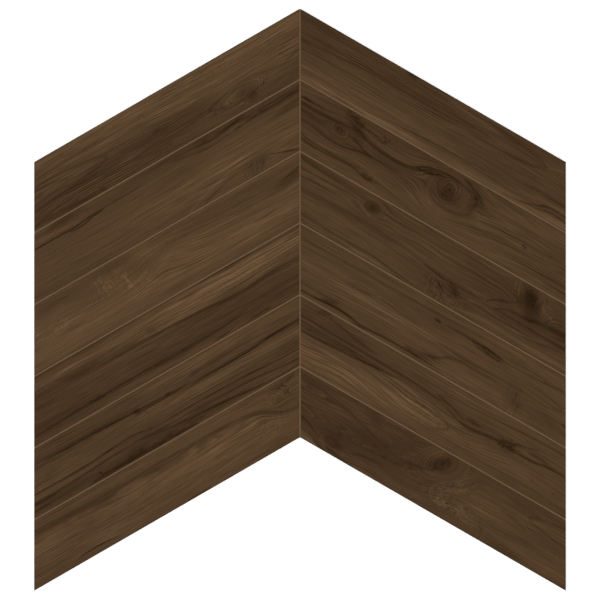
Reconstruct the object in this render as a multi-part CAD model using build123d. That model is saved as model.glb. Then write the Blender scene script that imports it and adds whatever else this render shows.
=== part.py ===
from build123d import *

import os
from math import ceil, cos, floor, radians, sin, tan

# A chevron sheet of wood-look porcelain planks.
#
# Two mirrored columns of parallelogram planks fall away from a central spine.
# Each plank is one pressed and rectified piece, printed on its face, with a
# fine bevel round the face and keying channels pressed into its back. The
# gaps between the planks are filled to just under the foot of that bevel and
# struck with a round tool, which leaves the joints slightly dished.
#
# The sheet lies face up: X runs across the two columns, Y towards the point of
# the chevron and Z up. The origin is the middle of the sheet's outline, on the
# plane that the backs of the planks rest on. All sizes are in millimetres.

# The chevron
ROWS = 6                      # planks in each column
RISE_ANGLE = radians(30.0)    # slope of the planks up to the spine
JOINT_WIDTH = 2.0             # gap between any two planks, square to it

# One plank
PLANK_LENGTH = 400.0          # along the grain, on the long edge
PLANK_WIDTH = 79.2            # square to the grain
PLANK_THICKNESS = 9.0
FACE_BEVEL = 0.6              # on every edge of the printed face

# The pressed back of a plank
CHANNEL_DEPTH = 0.8
CHANNEL_WIDTH = 8.0           # least width, at the mouth
RIB_WIDTH = 4.0               # between two channels
RIM_WIDTH = 8.0               # solid border that no channel crosses
BAY_LENGTH = 118.0            # longest run of channel between cross ribs, along X
CHANNEL_DRAFT = 25.0          # degrees that each wall leans in
CHANNEL_CORNER = 1.2          # clipped off each side at each corner of the mouth

# The filled joints
JOINT_EDGE_DROP = 0.1         # the filler meets the planks this far below the bevel
JOINT_DISH = 0.3              # and is this much lower in the middle
JOINT_BACK_RECESS = 0.5       # and stops this far above the planks' backs

# Worked out from the above
MITRE_CUT = PLANK_WIDTH / cos(RISE_ANGLE)        # length of a plank's end, along Y
JOINT_CUT = JOINT_WIDTH / cos(RISE_ANGLE)        # height of a row joint, along Y
ROW_PITCH = MITRE_CUT + JOINT_CUT
COLUMN_WIDTH = PLANK_LENGTH * cos(RISE_ANGLE)
COLUMN_RISE = PLANK_LENGTH * sin(RISE_ANGLE)
BAND_HEIGHT = ROWS * ROW_PITCH - JOINT_CUT       # one column, measured along Y
SHEET_WIDTH = 2 * COLUMN_WIDTH + JOINT_WIDTH
SHEET_HEIGHT = BAND_HEIGHT + COLUMN_RISE
SPINE_SIDE = JOINT_WIDTH / 2                     # X of the planks' inner ends
POINT_Y = SHEET_HEIGHT / 2                       # Y of the inner corners at the point
JOINT_EDGE_Z = PLANK_THICKNESS - FACE_BEVEL - JOINT_EDGE_DROP
JOINT_HEIGHT = JOINT_EDGE_Z - JOINT_BACK_RECESS
STRIKER_RADIUS = ((JOINT_WIDTH / 2) ** 2 + JOINT_DISH**2) / (2 * JOINT_DISH)
STRIKER_Z = JOINT_EDGE_Z - JOINT_DISH + STRIKER_RADIUS


def fallen(y, x):
    """Y at X of a line that follows the planks and meets their inner ends at y."""
    return y - (x - SPINE_SIDE) * tan(RISE_ANGLE)


def slanted(start_x, end_x, top_y, height):
    """A parallelogram that falls away from the spine on the right-hand side.

    Its ends are at start_x and end_x, its sides follow the planks, and top_y
    is where its upper side would meet the planks' inner ends.
    """
    bottom_y = top_y - height
    return Polygon(
        (start_x, fallen(top_y, start_x)),
        (start_x, fallen(bottom_y, start_x)),
        (end_x, fallen(bottom_y, end_x)),
        (end_x, fallen(top_y, end_x)),
        align=None,
    )


def row_top(row):
    """Y of a row's upper side where it meets the spine."""
    return POINT_Y - row * ROW_PITCH


def equal_spans(total, count, gap):
    """Splits a length into equal spans with equal gaps, as (start, size) pairs."""
    size = (total - (count - 1) * gap) / count
    return [(i * (size + gap), size) for i in range(count)]


def channel(start_x, end_x, top_y, across):
    """One keying channel, narrowing from the back into the plank."""
    mouth = slanted(start_x, end_x, top_y, across / cos(RISE_ANGLE))
    mouth = chamfer(mouth.vertices(), CHANNEL_CORNER)
    return extrude(mouth, CHANNEL_DEPTH, taper=CHANNEL_DRAFT)


def back_channels(row):
    """Every channel in the back of one plank, in bays along its length."""
    run = COLUMN_WIDTH - 2 * RIM_WIDTH
    room = PLANK_WIDTH - 2 * RIM_WIDTH
    bays = max(1, ceil((run + RIB_WIDTH) / (BAY_LENGTH + RIB_WIDTH)))
    channels = max(1, floor((room + RIB_WIDTH) / (CHANNEL_WIDTH + RIB_WIDTH)))
    cuts = []
    for bay_start, bay_size in equal_spans(run, bays, RIB_WIDTH):
        start_x = SPINE_SIDE + RIM_WIDTH + bay_start
        for offset, across in equal_spans(room, channels, RIB_WIDTH):
            top_y = row_top(row) - (RIM_WIDTH + offset) / cos(RISE_ANGLE)
            cuts.append(channel(start_x, start_x + bay_size, top_y, across))
    return cuts


def plank(row):
    """One plank of the right-hand column; row 0 is at the point."""
    outline = slanted(SPINE_SIDE, SPINE_SIDE + COLUMN_WIDTH, row_top(row), MITRE_CUT)
    body = extrude(outline, PLANK_THICKNESS)
    face_edges = body.faces().sort_by(Axis.Z)[-1].edges()
    return chamfer(face_edges, FACE_BEVEL) - back_channels(row)


def striker(row):
    """The round tool along the joint under a row, from the spine's middle out."""
    middle_y = row_top(row) - MITRE_CUT - JOINT_CUT / 2
    inner_x = -STRIKER_RADIUS
    outer_x = SPINE_SIDE + COLUMN_WIDTH + STRIKER_RADIUS
    start = Vector(inner_x, fallen(middle_y, inner_x), STRIKER_Z)
    end = Vector(outer_x, fallen(middle_y, outer_x), STRIKER_Z)
    path = Plane(origin=start, z_dir=end - start)
    tool = extrude(path * Circle(STRIKER_RADIUS), (end - start).length)
    return split(tool, bisect_by=Plane.YZ, keep=Keep.TOP)


def row_joint(row):
    """The filled joint under one row of the right-hand column."""
    top_y = row_top(row) - MITRE_CUT
    outline = slanted(SPINE_SIDE, SPINE_SIDE + COLUMN_WIDTH, top_y, JOINT_CUT)
    return extrude(Pos(0, 0, JOINT_BACK_RECESS) * outline, JOINT_HEIGHT) - striker(row)


def spine_joint():
    """The filled joint between the two columns, from the point to the notch."""
    middle_y = POINT_Y - BAND_HEIGHT / 2
    bar = Pos(0, middle_y, JOINT_BACK_RECESS + JOINT_HEIGHT / 2) * Box(
        JOINT_WIDTH, BAND_HEIGHT, JOINT_HEIGHT
    )
    along = Pos(0, middle_y, STRIKER_Z) * Rot(90, 0, 0) * Cylinder(
        STRIKER_RADIUS, BAND_HEIGHT + 2 * STRIKER_RADIUS
    )
    bar -= along
    for row in range(ROWS - 1):
        tool = striker(row)
        bar = bar - tool - mirror(tool, about=Plane.YZ)
    return bar


def save(shape, node):
    """Writes one node's STEP file."""
    export_step(shape, os.path.join("parts", f"{node}.step"))


def main():
    os.makedirs("parts", exist_ok=True)
    for row in range(ROWS):
        right = plank(row)
        save(right, f"plank_right_{row + 1}")
        save(mirror(right, about=Plane.YZ), f"plank_left_{row + 1}")
    right_joints = Compound(children=[row_joint(row) for row in range(ROWS - 1)])
    save(right_joints, "row_joints_right")
    save(mirror(right_joints, about=Plane.YZ), "row_joints_left")
    save(spine_joint(), "spine_joint")
    print(f"sheet {SHEET_WIDTH:.1f} x {SHEET_HEIGHT:.1f} x {PLANK_THICKNESS:.1f} mm")


main()
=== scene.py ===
import logging
import math
from dataclasses import dataclass, field, replace
from enum import Enum
from functools import cached_property
from typing import Optional, Sequence, Union

import bpy
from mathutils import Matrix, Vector


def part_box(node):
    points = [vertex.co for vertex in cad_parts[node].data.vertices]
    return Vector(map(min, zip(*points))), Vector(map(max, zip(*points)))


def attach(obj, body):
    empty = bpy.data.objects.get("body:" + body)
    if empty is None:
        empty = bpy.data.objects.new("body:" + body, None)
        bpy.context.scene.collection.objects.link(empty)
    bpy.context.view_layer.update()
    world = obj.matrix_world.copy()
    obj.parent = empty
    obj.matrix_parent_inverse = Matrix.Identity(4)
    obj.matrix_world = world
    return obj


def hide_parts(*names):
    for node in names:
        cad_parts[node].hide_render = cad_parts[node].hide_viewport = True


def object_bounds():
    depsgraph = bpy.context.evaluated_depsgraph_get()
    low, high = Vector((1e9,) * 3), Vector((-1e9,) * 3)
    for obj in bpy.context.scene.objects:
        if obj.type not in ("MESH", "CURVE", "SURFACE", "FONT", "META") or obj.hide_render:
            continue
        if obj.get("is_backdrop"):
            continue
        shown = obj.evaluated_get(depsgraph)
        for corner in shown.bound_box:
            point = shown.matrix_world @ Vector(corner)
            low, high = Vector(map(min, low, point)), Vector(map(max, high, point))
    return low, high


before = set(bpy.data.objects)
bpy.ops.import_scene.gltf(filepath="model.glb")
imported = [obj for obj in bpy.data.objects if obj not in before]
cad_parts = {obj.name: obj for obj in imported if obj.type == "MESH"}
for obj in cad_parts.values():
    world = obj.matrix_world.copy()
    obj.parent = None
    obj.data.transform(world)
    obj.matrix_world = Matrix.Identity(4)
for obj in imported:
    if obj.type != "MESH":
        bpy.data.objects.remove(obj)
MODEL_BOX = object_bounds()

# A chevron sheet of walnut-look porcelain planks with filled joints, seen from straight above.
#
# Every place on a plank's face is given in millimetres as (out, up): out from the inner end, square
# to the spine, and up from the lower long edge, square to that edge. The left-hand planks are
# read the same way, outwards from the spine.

log = logging.getLogger("chevron_sheet")

MM = 0.001
BODY = "root"
BAKE_MAP = "OFBake"
SHARP_ANGLE = math.radians(35.0)


class Side(Enum):
    """The two columns of planks, valued by the sign of their X."""

    RIGHT = 1
    LEFT = -1


def linear(red: float, green: float, blue: float) -> tuple[float, float, float, float]:
    """Turns a colour as it is seen on screen into the one that a node holds.

    Args:
        red: Level from 0 to 255.
        green: Level from 0 to 255.
        blue: Level from 0 to 255.

    Returns:
        The linear colour with full alpha.
    """
    levels = [level / 255 for level in (red, green, blue)]
    values = [c / 12.92 if c <= 0.04045 else ((c + 0.055) / 1.055) ** 2.4 for c in levels]
    return (values[0], values[1], values[2], 1.0)


# Node sketches


class Signal:
    """A value on its way through a node tree. Arithmetic on it adds nodes."""

    def __init__(self, sketch: "NodeSketch", socket: bpy.types.NodeSocket) -> None:
        """Remembers the sketch and the socket that the value comes from."""
        self.sketch = sketch
        self.socket = socket

    def __add__(self, other: "Number") -> "Signal":
        """Adds."""
        return self.sketch.math("ADD", self, other)

    def __sub__(self, other: "Number") -> "Signal":
        """Subtracts."""
        return self.sketch.math("SUBTRACT", self, other)

    def __rsub__(self, other: "Number") -> "Signal":
        """Subtracts from a number."""
        return self.sketch.math("SUBTRACT", other, self)

    def __mul__(self, other: "Number") -> "Signal":
        """Multiplies."""
        return self.sketch.math("MULTIPLY", self, other)

    def __truediv__(self, other: "Number") -> "Signal":
        """Divides."""
        return self.sketch.math("DIVIDE", self, other)

    def __pow__(self, other: "Number") -> "Signal":
        """Raises to a power."""
        return self.sketch.math("POWER", self, other)

    def __gt__(self, other: "Number") -> "Signal":
        """Gives 1 where it is greater, else 0."""
        return self.sketch.math("GREATER_THAN", self, other)

    def __lt__(self, other: "Number") -> "Signal":
        """Gives 1 where it is less, else 0."""
        return self.sketch.math("LESS_THAN", self, other)

    def __abs__(self) -> "Signal":
        """Drops the sign."""
        return self.sketch.math("ABSOLUTE", self)

    __radd__ = __add__
    __rmul__ = __mul__

    def apply(self, operation: str, *others: "Number") -> "Signal":
        """Passes the value through one Math node, with any further values."""
        return self.sketch.math(operation, self, *others)

    def bell(self) -> "Signal":
        """Gives a bell curve that is 1 at zero and fades over about one unit."""
        return (self * self * -1.0).apply("EXPONENT")


Number = Union[Signal, float]


class NodeSketch:
    """Adds nodes to one tree and joins them, so that a pattern reads as arithmetic."""

    def __init__(self, tree: bpy.types.NodeTree) -> None:
        """Remembers the tree."""
        self.tree = tree

    def add(self, kind: str, **settings: object) -> bpy.types.Node:
        """Adds one node.

        Args:
            kind: The node's type name.
            settings: Properties of the node to set.

        Returns:
            The new node.
        """
        node = self.tree.nodes.new(kind)
        for name, value in settings.items():
            setattr(node, name, value)
        return node

    @cached_property
    def place(self) -> Signal:
        """The place on the piece, from its own coordinates."""
        return self.run("ShaderNodeTexCoord", {}, "Object")

    def join(self, socket: bpy.types.NodeSocket, value: object) -> None:
        """Links a signal to a socket, or sets the socket to a plain value.

        Args:
            socket: The input to feed.
            value: The signal, or the number, vector, colour or other setting.
        """
        if isinstance(value, Signal):
            self.tree.links.new(value.socket, socket)
        else:
            socket.default_value = value

    def run(self, kind: str, inputs: dict[str, object], output: str, **settings: object) -> Signal:
        """Adds one node with its inputs and gives one of its outputs.

        Args:
            kind: The node's type name.
            inputs: Signals or plain values by socket name.
            output: Name of the wanted output.
            settings: Properties of the node to set.

        Returns:
            The output as a signal.
        """
        node = self.add(kind, **settings)
        for name, value in inputs.items():
            self.join(next(s for s in node.inputs if s.name == name and s.enabled), value)
        return Signal(self, next(s for s in node.outputs if s.name == output and s.enabled))

    def math(self, operation: str, *values: Number) -> Signal:
        """Adds one Math node.

        Args:
            operation: The node's operation.
            values: What goes into it, in order.

        Returns:
            Its result.
        """
        node = self.add("ShaderNodeMath", operation=operation)
        for socket, value in zip(node.inputs, values):
            self.join(socket, value)
        return Signal(self, node.outputs[0])

    def ease(self, value: Signal, start: Number, end: Number) -> Signal:
        """Rises smoothly from 0 where the value is start to 1 where it is end."""
        inputs = {"Value": value, "From Min": start, "From Max": end}
        return self.run("ShaderNodeMapRange", inputs, "Result", interpolation_type="SMOOTHSTEP")

    def vector(self, x: Number, y: Number, z: Number) -> Signal:
        """Makes a vector of three values."""
        return self.run("ShaderNodeCombineXYZ", {"X": x, "Y": y, "Z": z}, "Vector")

    def parts(self, vector: Signal) -> tuple[Signal, Signal, Signal]:
        """Splits a vector into its three values.

        Args:
            vector: The vector.

        Returns:
            Its X, Y and Z.
        """
        node = self.add("ShaderNodeSeparateXYZ")
        self.join(node.inputs[0], vector)
        x, y, z = (Signal(self, socket) for socket in node.outputs)
        return x, y, z

    def noise(self, x: Number, y: Number, z: Number, detail: float = 0.0) -> Signal:
        """Makes smooth noise between about -1 and 1.

        Args:
            x: First coordinate, in lumps of the noise.
            y: Second coordinate.
            z: Third coordinate, used as the seed.
            detail: How many finer octaves are added.

        Returns:
            The noise.
        """
        inputs = {"Vector": self.vector(x, y, z), "Scale": 1.0, "Detail": detail}
        value = self.run("ShaderNodeTexNoise", inputs, "Fac", noise_dimensions="3D")
        return (value - 0.5) * 2.4

    def speckle(self, scale: float, detail: float) -> Signal:
        """Makes even noise over the whole piece, between 0 and 1."""
        inputs = {"Vector": self.place, "Scale": scale, "Detail": detail}
        return self.run("ShaderNodeTexNoise", inputs, "Fac")

    def blend(self, amount: Signal, first: object, second: object) -> Signal:
        """Blends two colours.

        Args:
            amount: The share of the second colour, 0 to 1.
            first: The first colour or its signal.
            second: The second one.

        Returns:
            The blended colour.
        """
        node = self.add("ShaderNodeMix", data_type="RGBA")
        sockets = {socket.identifier: socket for socket in (*node.inputs, *node.outputs)}
        for name, value in {"Factor_Float": amount, "A_Color": first, "B_Color": second}.items():
            self.join(sockets[name], value)
        return Signal(self, sockets["Result_Color"])

    def use(self, group: "GroupSketch", inputs: dict[str, Number]) -> Signal:
        """Puts a group into the tree and gives its result."""
        return self.run("ShaderNodeGroup", inputs, "Result", node_tree=group.tree)


class GroupSketch(NodeSketch):
    """A reusable group of shader nodes with named inputs and one result."""

    def __init__(self, name: str, inputs: Sequence[str]) -> None:
        """Makes the group's tree, its inputs and its result.

        Args:
            name: The group's name.
            inputs: The names of its inputs, all plain numbers.
        """
        super().__init__(bpy.data.node_groups.new(name, "ShaderNodeTree"))
        for title in inputs:
            self.tree.interface.new_socket(title, in_out="INPUT", socket_type="NodeSocketFloat")
        self.tree.interface.new_socket("Result", in_out="OUTPUT", socket_type="NodeSocketFloat")
        self.entry = self.add("NodeGroupInput")
        self.exit = self.add("NodeGroupOutput")

    def take(self, *names: str) -> list[Signal]:
        """Gives the named inputs as signals."""
        return [Signal(self, self.entry.outputs[name]) for name in names]

    def give(self, result: Signal) -> "GroupSketch":
        """Sets the group's result."""
        self.join(self.exit.inputs[0], result)
        return self


# The sheet


@dataclass(frozen=True)
class SheetSizes:
    """The main sizes of the sheet, in metres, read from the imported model."""

    inner: float
    column: float
    thickness: float
    pitch: float
    point: float
    angle: float = math.radians(30.0)
    rows: int = 6
    bevel: float = 0.6 * MM

    @classmethod
    def from_model(cls) -> "SheetSizes":
        """Reads the sizes off the first two planks of the right-hand column.

        Returns:
            The sizes.
        """
        low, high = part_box("plank_right_1")
        next_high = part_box("plank_right_2")[1]
        return cls(low.x, high.x - low.x, high.z, high.y - next_high.y, high.y)

    @property
    def joint(self) -> float:
        """The joint's width, square to it."""
        return 2 * self.inner

    @property
    def joint_cut(self) -> float:
        """The height of a row joint, along Y."""
        return self.joint / math.cos(self.angle)

    @property
    def mitre(self) -> float:
        """The length of a plank's cut end."""
        return self.pitch - self.joint_cut

    @property
    def width(self) -> float:
        """A plank's width, square to its grain."""
        return self.mitre * math.cos(self.angle)

    def lower_edge(self, row: int) -> float:
        """Y of the inner end of a plank's lower edge; row 0 is at the point."""
        return self.point - row * self.pitch - self.mitre


@dataclass(frozen=True)
class Layout:
    """Where a straight piece lies in the sheet: its corner, and what its X and Y run along."""

    start: Vector
    along: Vector
    across: Vector
    mirrored: bool

    @classmethod
    def on_slope(cls, sizes: SheetSizes, side: Side, start_y: float) -> "Layout":
        """Lays a piece outwards from the spine, down the slope of the planks.

        Args:
            sizes: The sheet's sizes.
            side: The column.
            start_y: Y of the piece's lower edge at its inner end.

        Returns:
            The layout.
        """
        start = Vector((side.value * sizes.inner, start_y, 0.0))
        along = Vector((side.value, -math.tan(sizes.angle), 0.0))
        across = Vector((0.0, 1 / math.cos(sizes.angle), 0.0))
        return cls(start, along, across, side is Side.LEFT)

    def inputs(self) -> dict[str, object]:
        """Gives the values that a shape's tree asks for.

        Returns:
            The values by the names of the tree's inputs.
        """
        return {
            "Start": tuple(self.start),
            "Along": tuple(self.along),
            "Across": tuple(self.across),
            "Mirrored": self.mirrored,
        }


class StraightShape(NodeSketch):
    """A Geometry Nodes tree that builds a piece straight and then lays it out in the sheet."""

    KINDS = {
        float: "NodeSocketFloat",
        int: "NodeSocketInt",
        bool: "NodeSocketBool",
        Vector: "NodeSocketVector",
        bpy.types.Material: "NodeSocketMaterial",
    }

    def __init__(self, name: str, inputs: dict[str, type]) -> None:
        """Makes the tree with its named inputs.

        Args:
            name: The tree's name.
            inputs: The piece's own inputs by name, with their types.
        """
        super().__init__(bpy.data.node_groups.new(name, "GeometryNodeTree"))
        shared = {"Start": Vector, "Along": Vector, "Across": Vector, "Mirrored": bool}
        for title, kind in {**inputs, **shared, "Material": bpy.types.Material}.items():
            self.tree.interface.new_socket(title, in_out="INPUT", socket_type=self.KINDS[kind])
        self.tree.interface.new_socket("Geometry", in_out="OUTPUT", socket_type="NodeSocketGeometry")
        self.entry = self.add("NodeGroupInput")
        self.exit = self.add("NodeGroupOutput")

    def take(self, name: str) -> Signal:
        """Gives one of the tree's inputs."""
        return Signal(self, self.entry.outputs[name])

    def position(self) -> tuple[Signal, Signal, Signal]:
        """Gives the position of each point as three values."""
        return self.parts(self.run("GeometryNodeInputPosition", {}, "Position"))

    def placed(self, geometry: Signal, x: Number, y: Number, z: Number) -> Signal:
        """Moves each point of a mesh to a worked-out place."""
        inputs = {"Geometry": geometry, "Position": self.vector(x, y, z)}
        return self.run("GeometryNodeSetPosition", inputs, "Geometry")

    def scaled(self, name: str, amount: Signal) -> Signal:
        """Gives one of the layout's vectors, scaled."""
        inputs = {"Vector": self.take(name), "Scale": amount}
        return self.run("ShaderNodeVectorMath", inputs, "Vector", operation="SCALE")

    def total(self, first: Signal, second: Signal) -> Signal:
        """Adds two vectors.

        Args:
            first: The first vector.
            second: The second one.

        Returns:
            Their sum.
        """
        node = self.add("ShaderNodeVectorMath", operation="ADD")
        self.join(node.inputs[0], first)
        self.join(node.inputs[1], second)
        return Signal(self, node.outputs[0])

    def lay_out(self, geometry: Signal) -> None:
        """Lays the straight piece out in the sheet, shades it and gives it its material.

        Args:
            geometry: The finished straight mesh.
        """
        x, y, z = self.position()
        place = self.total(self.scaled("Along", x), self.scaled("Across", y))
        place = self.total(place, self.take("Start"))
        place = self.total(place, self.vector(0.0, 0.0, z))
        mesh = self.run("GeometryNodeRealizeInstances", {"Geometry": geometry}, "Geometry")
        mesh = self.run("GeometryNodeSetPosition", {"Geometry": mesh, "Position": place}, "Geometry")
        turned = {"Mesh": mesh, "Selection": self.take("Mirrored")}
        mesh = self.run("GeometryNodeFlipFaces", turned, "Mesh")
        angle = self.run("GeometryNodeInputMeshEdgeAngle", {}, "Unsigned Angle")
        mesh = self.run("GeometryNodeSetShadeSmooth", {"Geometry": mesh}, "Geometry")
        soft = {"Geometry": mesh, "Selection": angle > SHARP_ANGLE, "Shade Smooth": False}
        mesh = self.run("GeometryNodeSetShadeSmooth", soft, "Geometry", domain="EDGE")
        dressed = {"Geometry": mesh, "Material": self.take("Material")}
        mesh = self.run("GeometryNodeSetMaterial", dressed, "Geometry")
        self.join(self.exit.inputs[0], mesh)

    def make(self, piece: str, inputs: dict[str, object]) -> bpy.types.Object:
        """Runs the tree once and keeps what it gives as a plain mesh.

        Args:
            piece: The new piece's name.
            inputs: A value for every input of the tree, by name.

        Returns:
            The piece, at the origin, with no modifier.
        """
        blank = bpy.data.meshes.new(piece)
        shown = bpy.data.objects.new(piece, blank)
        bpy.context.scene.collection.objects.link(shown)
        modifier = shown.modifiers.new("shape", "NODES")
        modifier.node_group = self.tree
        for item in self.tree.interface.items_tree:
            if item.in_out == "INPUT":
                modifier[item.identifier] = inputs[item.name]
        graph = bpy.context.evaluated_depsgraph_get()
        mesh = bpy.data.meshes.new_from_object(shown.evaluated_get(graph), depsgraph=graph)
        shown.modifiers.remove(modifier)
        shown.data = mesh
        mesh.name = piece
        bpy.data.meshes.remove(blank)
        return shown


def hand_over(piece: bpy.types.Object, nodes: Sequence[str]) -> None:
    """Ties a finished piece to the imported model.

    Args:
        piece: The finished piece.
        nodes: The nodes that the piece stands for.
    """
    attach(piece, BODY)
    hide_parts(*nodes)
    low = Vector([min(v.co[i] for v in piece.data.vertices) for i in range(3)]) / MM
    high = Vector([max(v.co[i] for v in piece.data.vertices) for i in range(3)]) / MM
    size = " x ".join(f"{value:.1f}" for value in high - low)
    log.info("%s: %d faces, %s mm, for %s", piece.name, len(piece.data.polygons), size, ", ".join(nodes))


@dataclass(frozen=True)
class BackChannels:
    """The keying channels that are pressed into a plank's back, in metres."""

    bays: int = 3
    rows: int = 5
    rim: float = 8.0 * MM
    rib: float = 4.0 * MM
    depth: float = 0.8 * MM
    corner: float = 1.6 * MM
    corner_steps: int = 3
    draft: float = math.radians(25.0)
    overrun: float = 0.1 * MM

    def cutters(self, shape: StraightShape, length: Signal, width: Signal) -> Signal:
        """Builds every channel of one straight plank as a solid to cut away.

        Args:
            shape: The plank's tree.
            length: The plank's length, square to the spine.
            width: The plank's width.

        Returns:
            The channels.
        """
        run = (length - (2 * self.rim + (self.bays - 1) * self.rib)) / self.bays
        room = (width - (2 * self.rim + (self.rows - 1) * self.rib)) / self.rows
        outline = {"Width": run, "Height": room}
        mouth = shape.run("GeometryNodeCurvePrimitiveQuadrilateral", outline, "Curve", mode="RECTANGLE")
        corners = {"Curve": mouth, "Count": self.corner_steps, "Radius": self.corner}
        mouth = shape.run("GeometryNodeFilletCurve", corners, "Curve", mode="POLY")
        mouth = shape.run("GeometryNodeFillCurve", {"Curve": mouth}, "Mesh", mode="NGONS")
        pull = shape.add("GeometryNodeExtrudeMesh", mode="FACES")
        shape.join(pull.inputs["Mesh"], mouth)
        shape.join(pull.inputs["Offset"], (0.0, 0.0, 1.0))
        shape.join(pull.inputs["Offset Scale"], self.depth + self.overrun)
        shape.join(pull.inputs["Individual"], False)
        x, y, _ = shape.position()
        lean = -(self.depth + self.overrun) * math.tan(self.draft)
        offset = shape.vector(x.apply("SIGN") * lean, y.apply("SIGN") * lean, 0.0)
        drafted = {
            "Geometry": Signal(shape, pull.outputs["Mesh"]),
            "Selection": Signal(shape, pull.outputs["Top"]),
            "Offset": offset,
        }
        walls = shape.run("GeometryNodeSetPosition", drafted, "Geometry")
        both = shape.add("GeometryNodeJoinGeometry")
        lid = shape.run("GeometryNodeFlipFaces", {"Mesh": mouth}, "Mesh")
        shape.tree.links.new(walls.socket, both.inputs[0])
        shape.tree.links.new(lid.socket, both.inputs[0])
        whole = {"Geometry": Signal(shape, both.outputs[0]), "Distance": 0.001 * MM}
        whole = shape.run("GeometryNodeMergeByDistance", whole, "Geometry")
        spread = {
            "Size X": (run + self.rib) * (self.bays - 1.0),
            "Size Y": (room + self.rib) * (self.rows - 1.0),
            "Vertices X": self.bays,
            "Vertices Y": self.rows,
        }
        places = shape.run("GeometryNodeMeshGrid", spread, "Mesh")
        centre = shape.vector(length / 2.0, width / 2.0, -self.overrun)
        moved = {"Geometry": places, "Offset": centre}
        places = shape.run("GeometryNodeSetPosition", moved, "Geometry")
        stamps = {"Points": places, "Instance": whole}
        stamped = shape.run("GeometryNodeInstanceOnPoints", stamps, "Instances")
        return shape.run("GeometryNodeRealizeInstances", {"Geometry": stamped}, "Geometry")


@dataclass(frozen=True)
class Strip:
    """A strip of a plank's map, from its low side, as shares of the whole square."""

    low: float
    size: float

    def spread(self, share: Signal) -> Signal:
        """Gives the place in the strip of a share of its size."""
        return share * self.size + self.low


@dataclass
class PlankShape:
    """One pressed and rectified plank: softly rounded face edges, square sides, a channelled back."""

    sizes: SheetSizes
    channels: BackChannels = field(default_factory=BackChannels)
    bevel_steps: int = 4
    facing: float = 0.05
    face_strip: Strip = Strip(0.272, 0.72)
    back_strip: Strip = Strip(0.118, 0.14)
    edge_strip: Strip = Strip(0.042, 0.026)
    edge_step: float = 0.038
    end_strip: Strip = Strip(0.005, 0.026)
    end_length: Strip = Strip(0.02, 0.45)
    face_length: Strip = Strip(0.005, 0.99)

    @cached_property
    def tree(self) -> StraightShape:
        """Builds the plank's Geometry Nodes tree.

        Returns:
            The tree.
        """
        named = {"Length": float, "Width": float, "Thickness": float, "Bevel": float}
        shape = StraightShape("plank_shape", named)
        length, width, thickness, bevel = (shape.take(name) for name in named)
        body = self.body(shape, length, width, thickness, bevel)
        cut = shape.add("GeometryNodeMeshBoolean", operation="DIFFERENCE", solver="EXACT")
        shape.join(cut.inputs[0], body)
        shape.join(cut.inputs[1], self.channels.cutters(shape, length, width))
        mapped = self.bake_map(shape, Signal(shape, cut.outputs[0]), length, width, thickness)
        shape.lay_out(mapped)
        return shape

    def body(
        self, shape: StraightShape, length: Signal, width: Signal, thickness: Signal, bevel: Signal
    ) -> Signal:
        """Builds the straight plank with its rounded face edges.

        Args:
            shape: The plank's tree.
            length: Length, square to the spine.
            width: Width, square to the grain.
            thickness: Thickness.
            bevel: Radius of the face's edges.

        Returns:
            The closed body.
        """
        levels = self.bevel_steps + 2
        block = {"Size": (1.0, 1.0, 1.0), "Vertices X": 2, "Vertices Y": 2, "Vertices Z": levels}
        block = shape.run("GeometryNodeMeshCube", block, "Mesh")
        x, y, z = shape.position()
        level = (z + 0.5) * (levels - 1.0)
        turn = (level - 1.0).apply("MAXIMUM", 0.0) * (math.pi / 2 / self.bevel_steps)
        inset = (1.0 - turn.apply("COSINE")) * bevel
        height = (thickness - bevel + turn.apply("SINE") * bevel) * (level > 0.5)
        out = inset + (x + 0.5) * (length - inset * 2.0)
        up = inset + (y + 0.5) * (width - inset * 2.0)
        return shape.placed(block, out, up, height)

    def bake_map(
        self, shape: StraightShape, mesh: Signal, length: Signal, width: Signal, thickness: Signal
    ) -> Signal:
        """Maps the plank so that the printed face has most of the square.

        The face fills the upper part. The back and then the four sides lie in strips below it.

        Args:
            shape: The plank's tree.
            mesh: The straight plank.
            length: Length, square to the spine.
            width: Width, square to the grain.
            thickness: Thickness.

        Returns:
            The plank with its map.
        """
        x, y, z = shape.position()
        flat = {"Value": shape.run("GeometryNodeInputNormal", {}, "Normal")}
        kind = "GeometryNodeFieldOnDomain"
        normal = shape.run(kind, flat, "Value", data_type="FLOAT_VECTOR", domain="FACE")
        nx, ny, nz = shape.parts(normal)
        face = nz > self.facing
        back = nz < -self.facing
        end = (1.0 - face - back) * (abs(nx) > 0.5)
        edge = 1.0 - face - back - end
        up = y / width
        rise = z / thickness
        outer_half = (nx > 0.0) * 0.5
        u = self.face_length.spread(x / length) * (1.0 - end)
        u = u + end * (outer_half + self.end_length.spread(up))
        v = face * self.face_strip.spread(up)
        v = v + back * self.back_strip.spread(up)
        v = v + edge * ((ny > 0.0) * self.edge_step + self.edge_strip.spread(rise))
        v = v + end * self.end_strip.spread(rise)
        stored = {"Geometry": mesh, "Name": BAKE_MAP, "Value": shape.vector(u, v, 0.0)}
        kind = "GeometryNodeStoreNamedAttribute"
        return shape.run(kind, stored, "Geometry", data_type="FLOAT2", domain="CORNER")

    def make(self, side: Side, row: int, finish: bpy.types.Material) -> bpy.types.Object:
        """Builds one plank and hands it over.

        Args:
            side: The plank's column.
            row: Its row, 0 at the point.
            finish: Its printed face and fired body.

        Returns:
            The plank.
        """
        name = f"{side.name.lower()}_{row + 1}"
        sizes = {
            "Length": self.sizes.column,
            "Width": self.sizes.width,
            "Thickness": self.sizes.thickness,
            "Bevel": self.sizes.bevel,
            "Material": finish,
        }
        layout = Layout.on_slope(self.sizes, side, self.sizes.lower_edge(row))
        piece = self.tree.make(f"printed_plank_{name}", {**sizes, **layout.inputs()})
        hand_over(piece, [f"plank_{name}"])
        return piece


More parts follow.
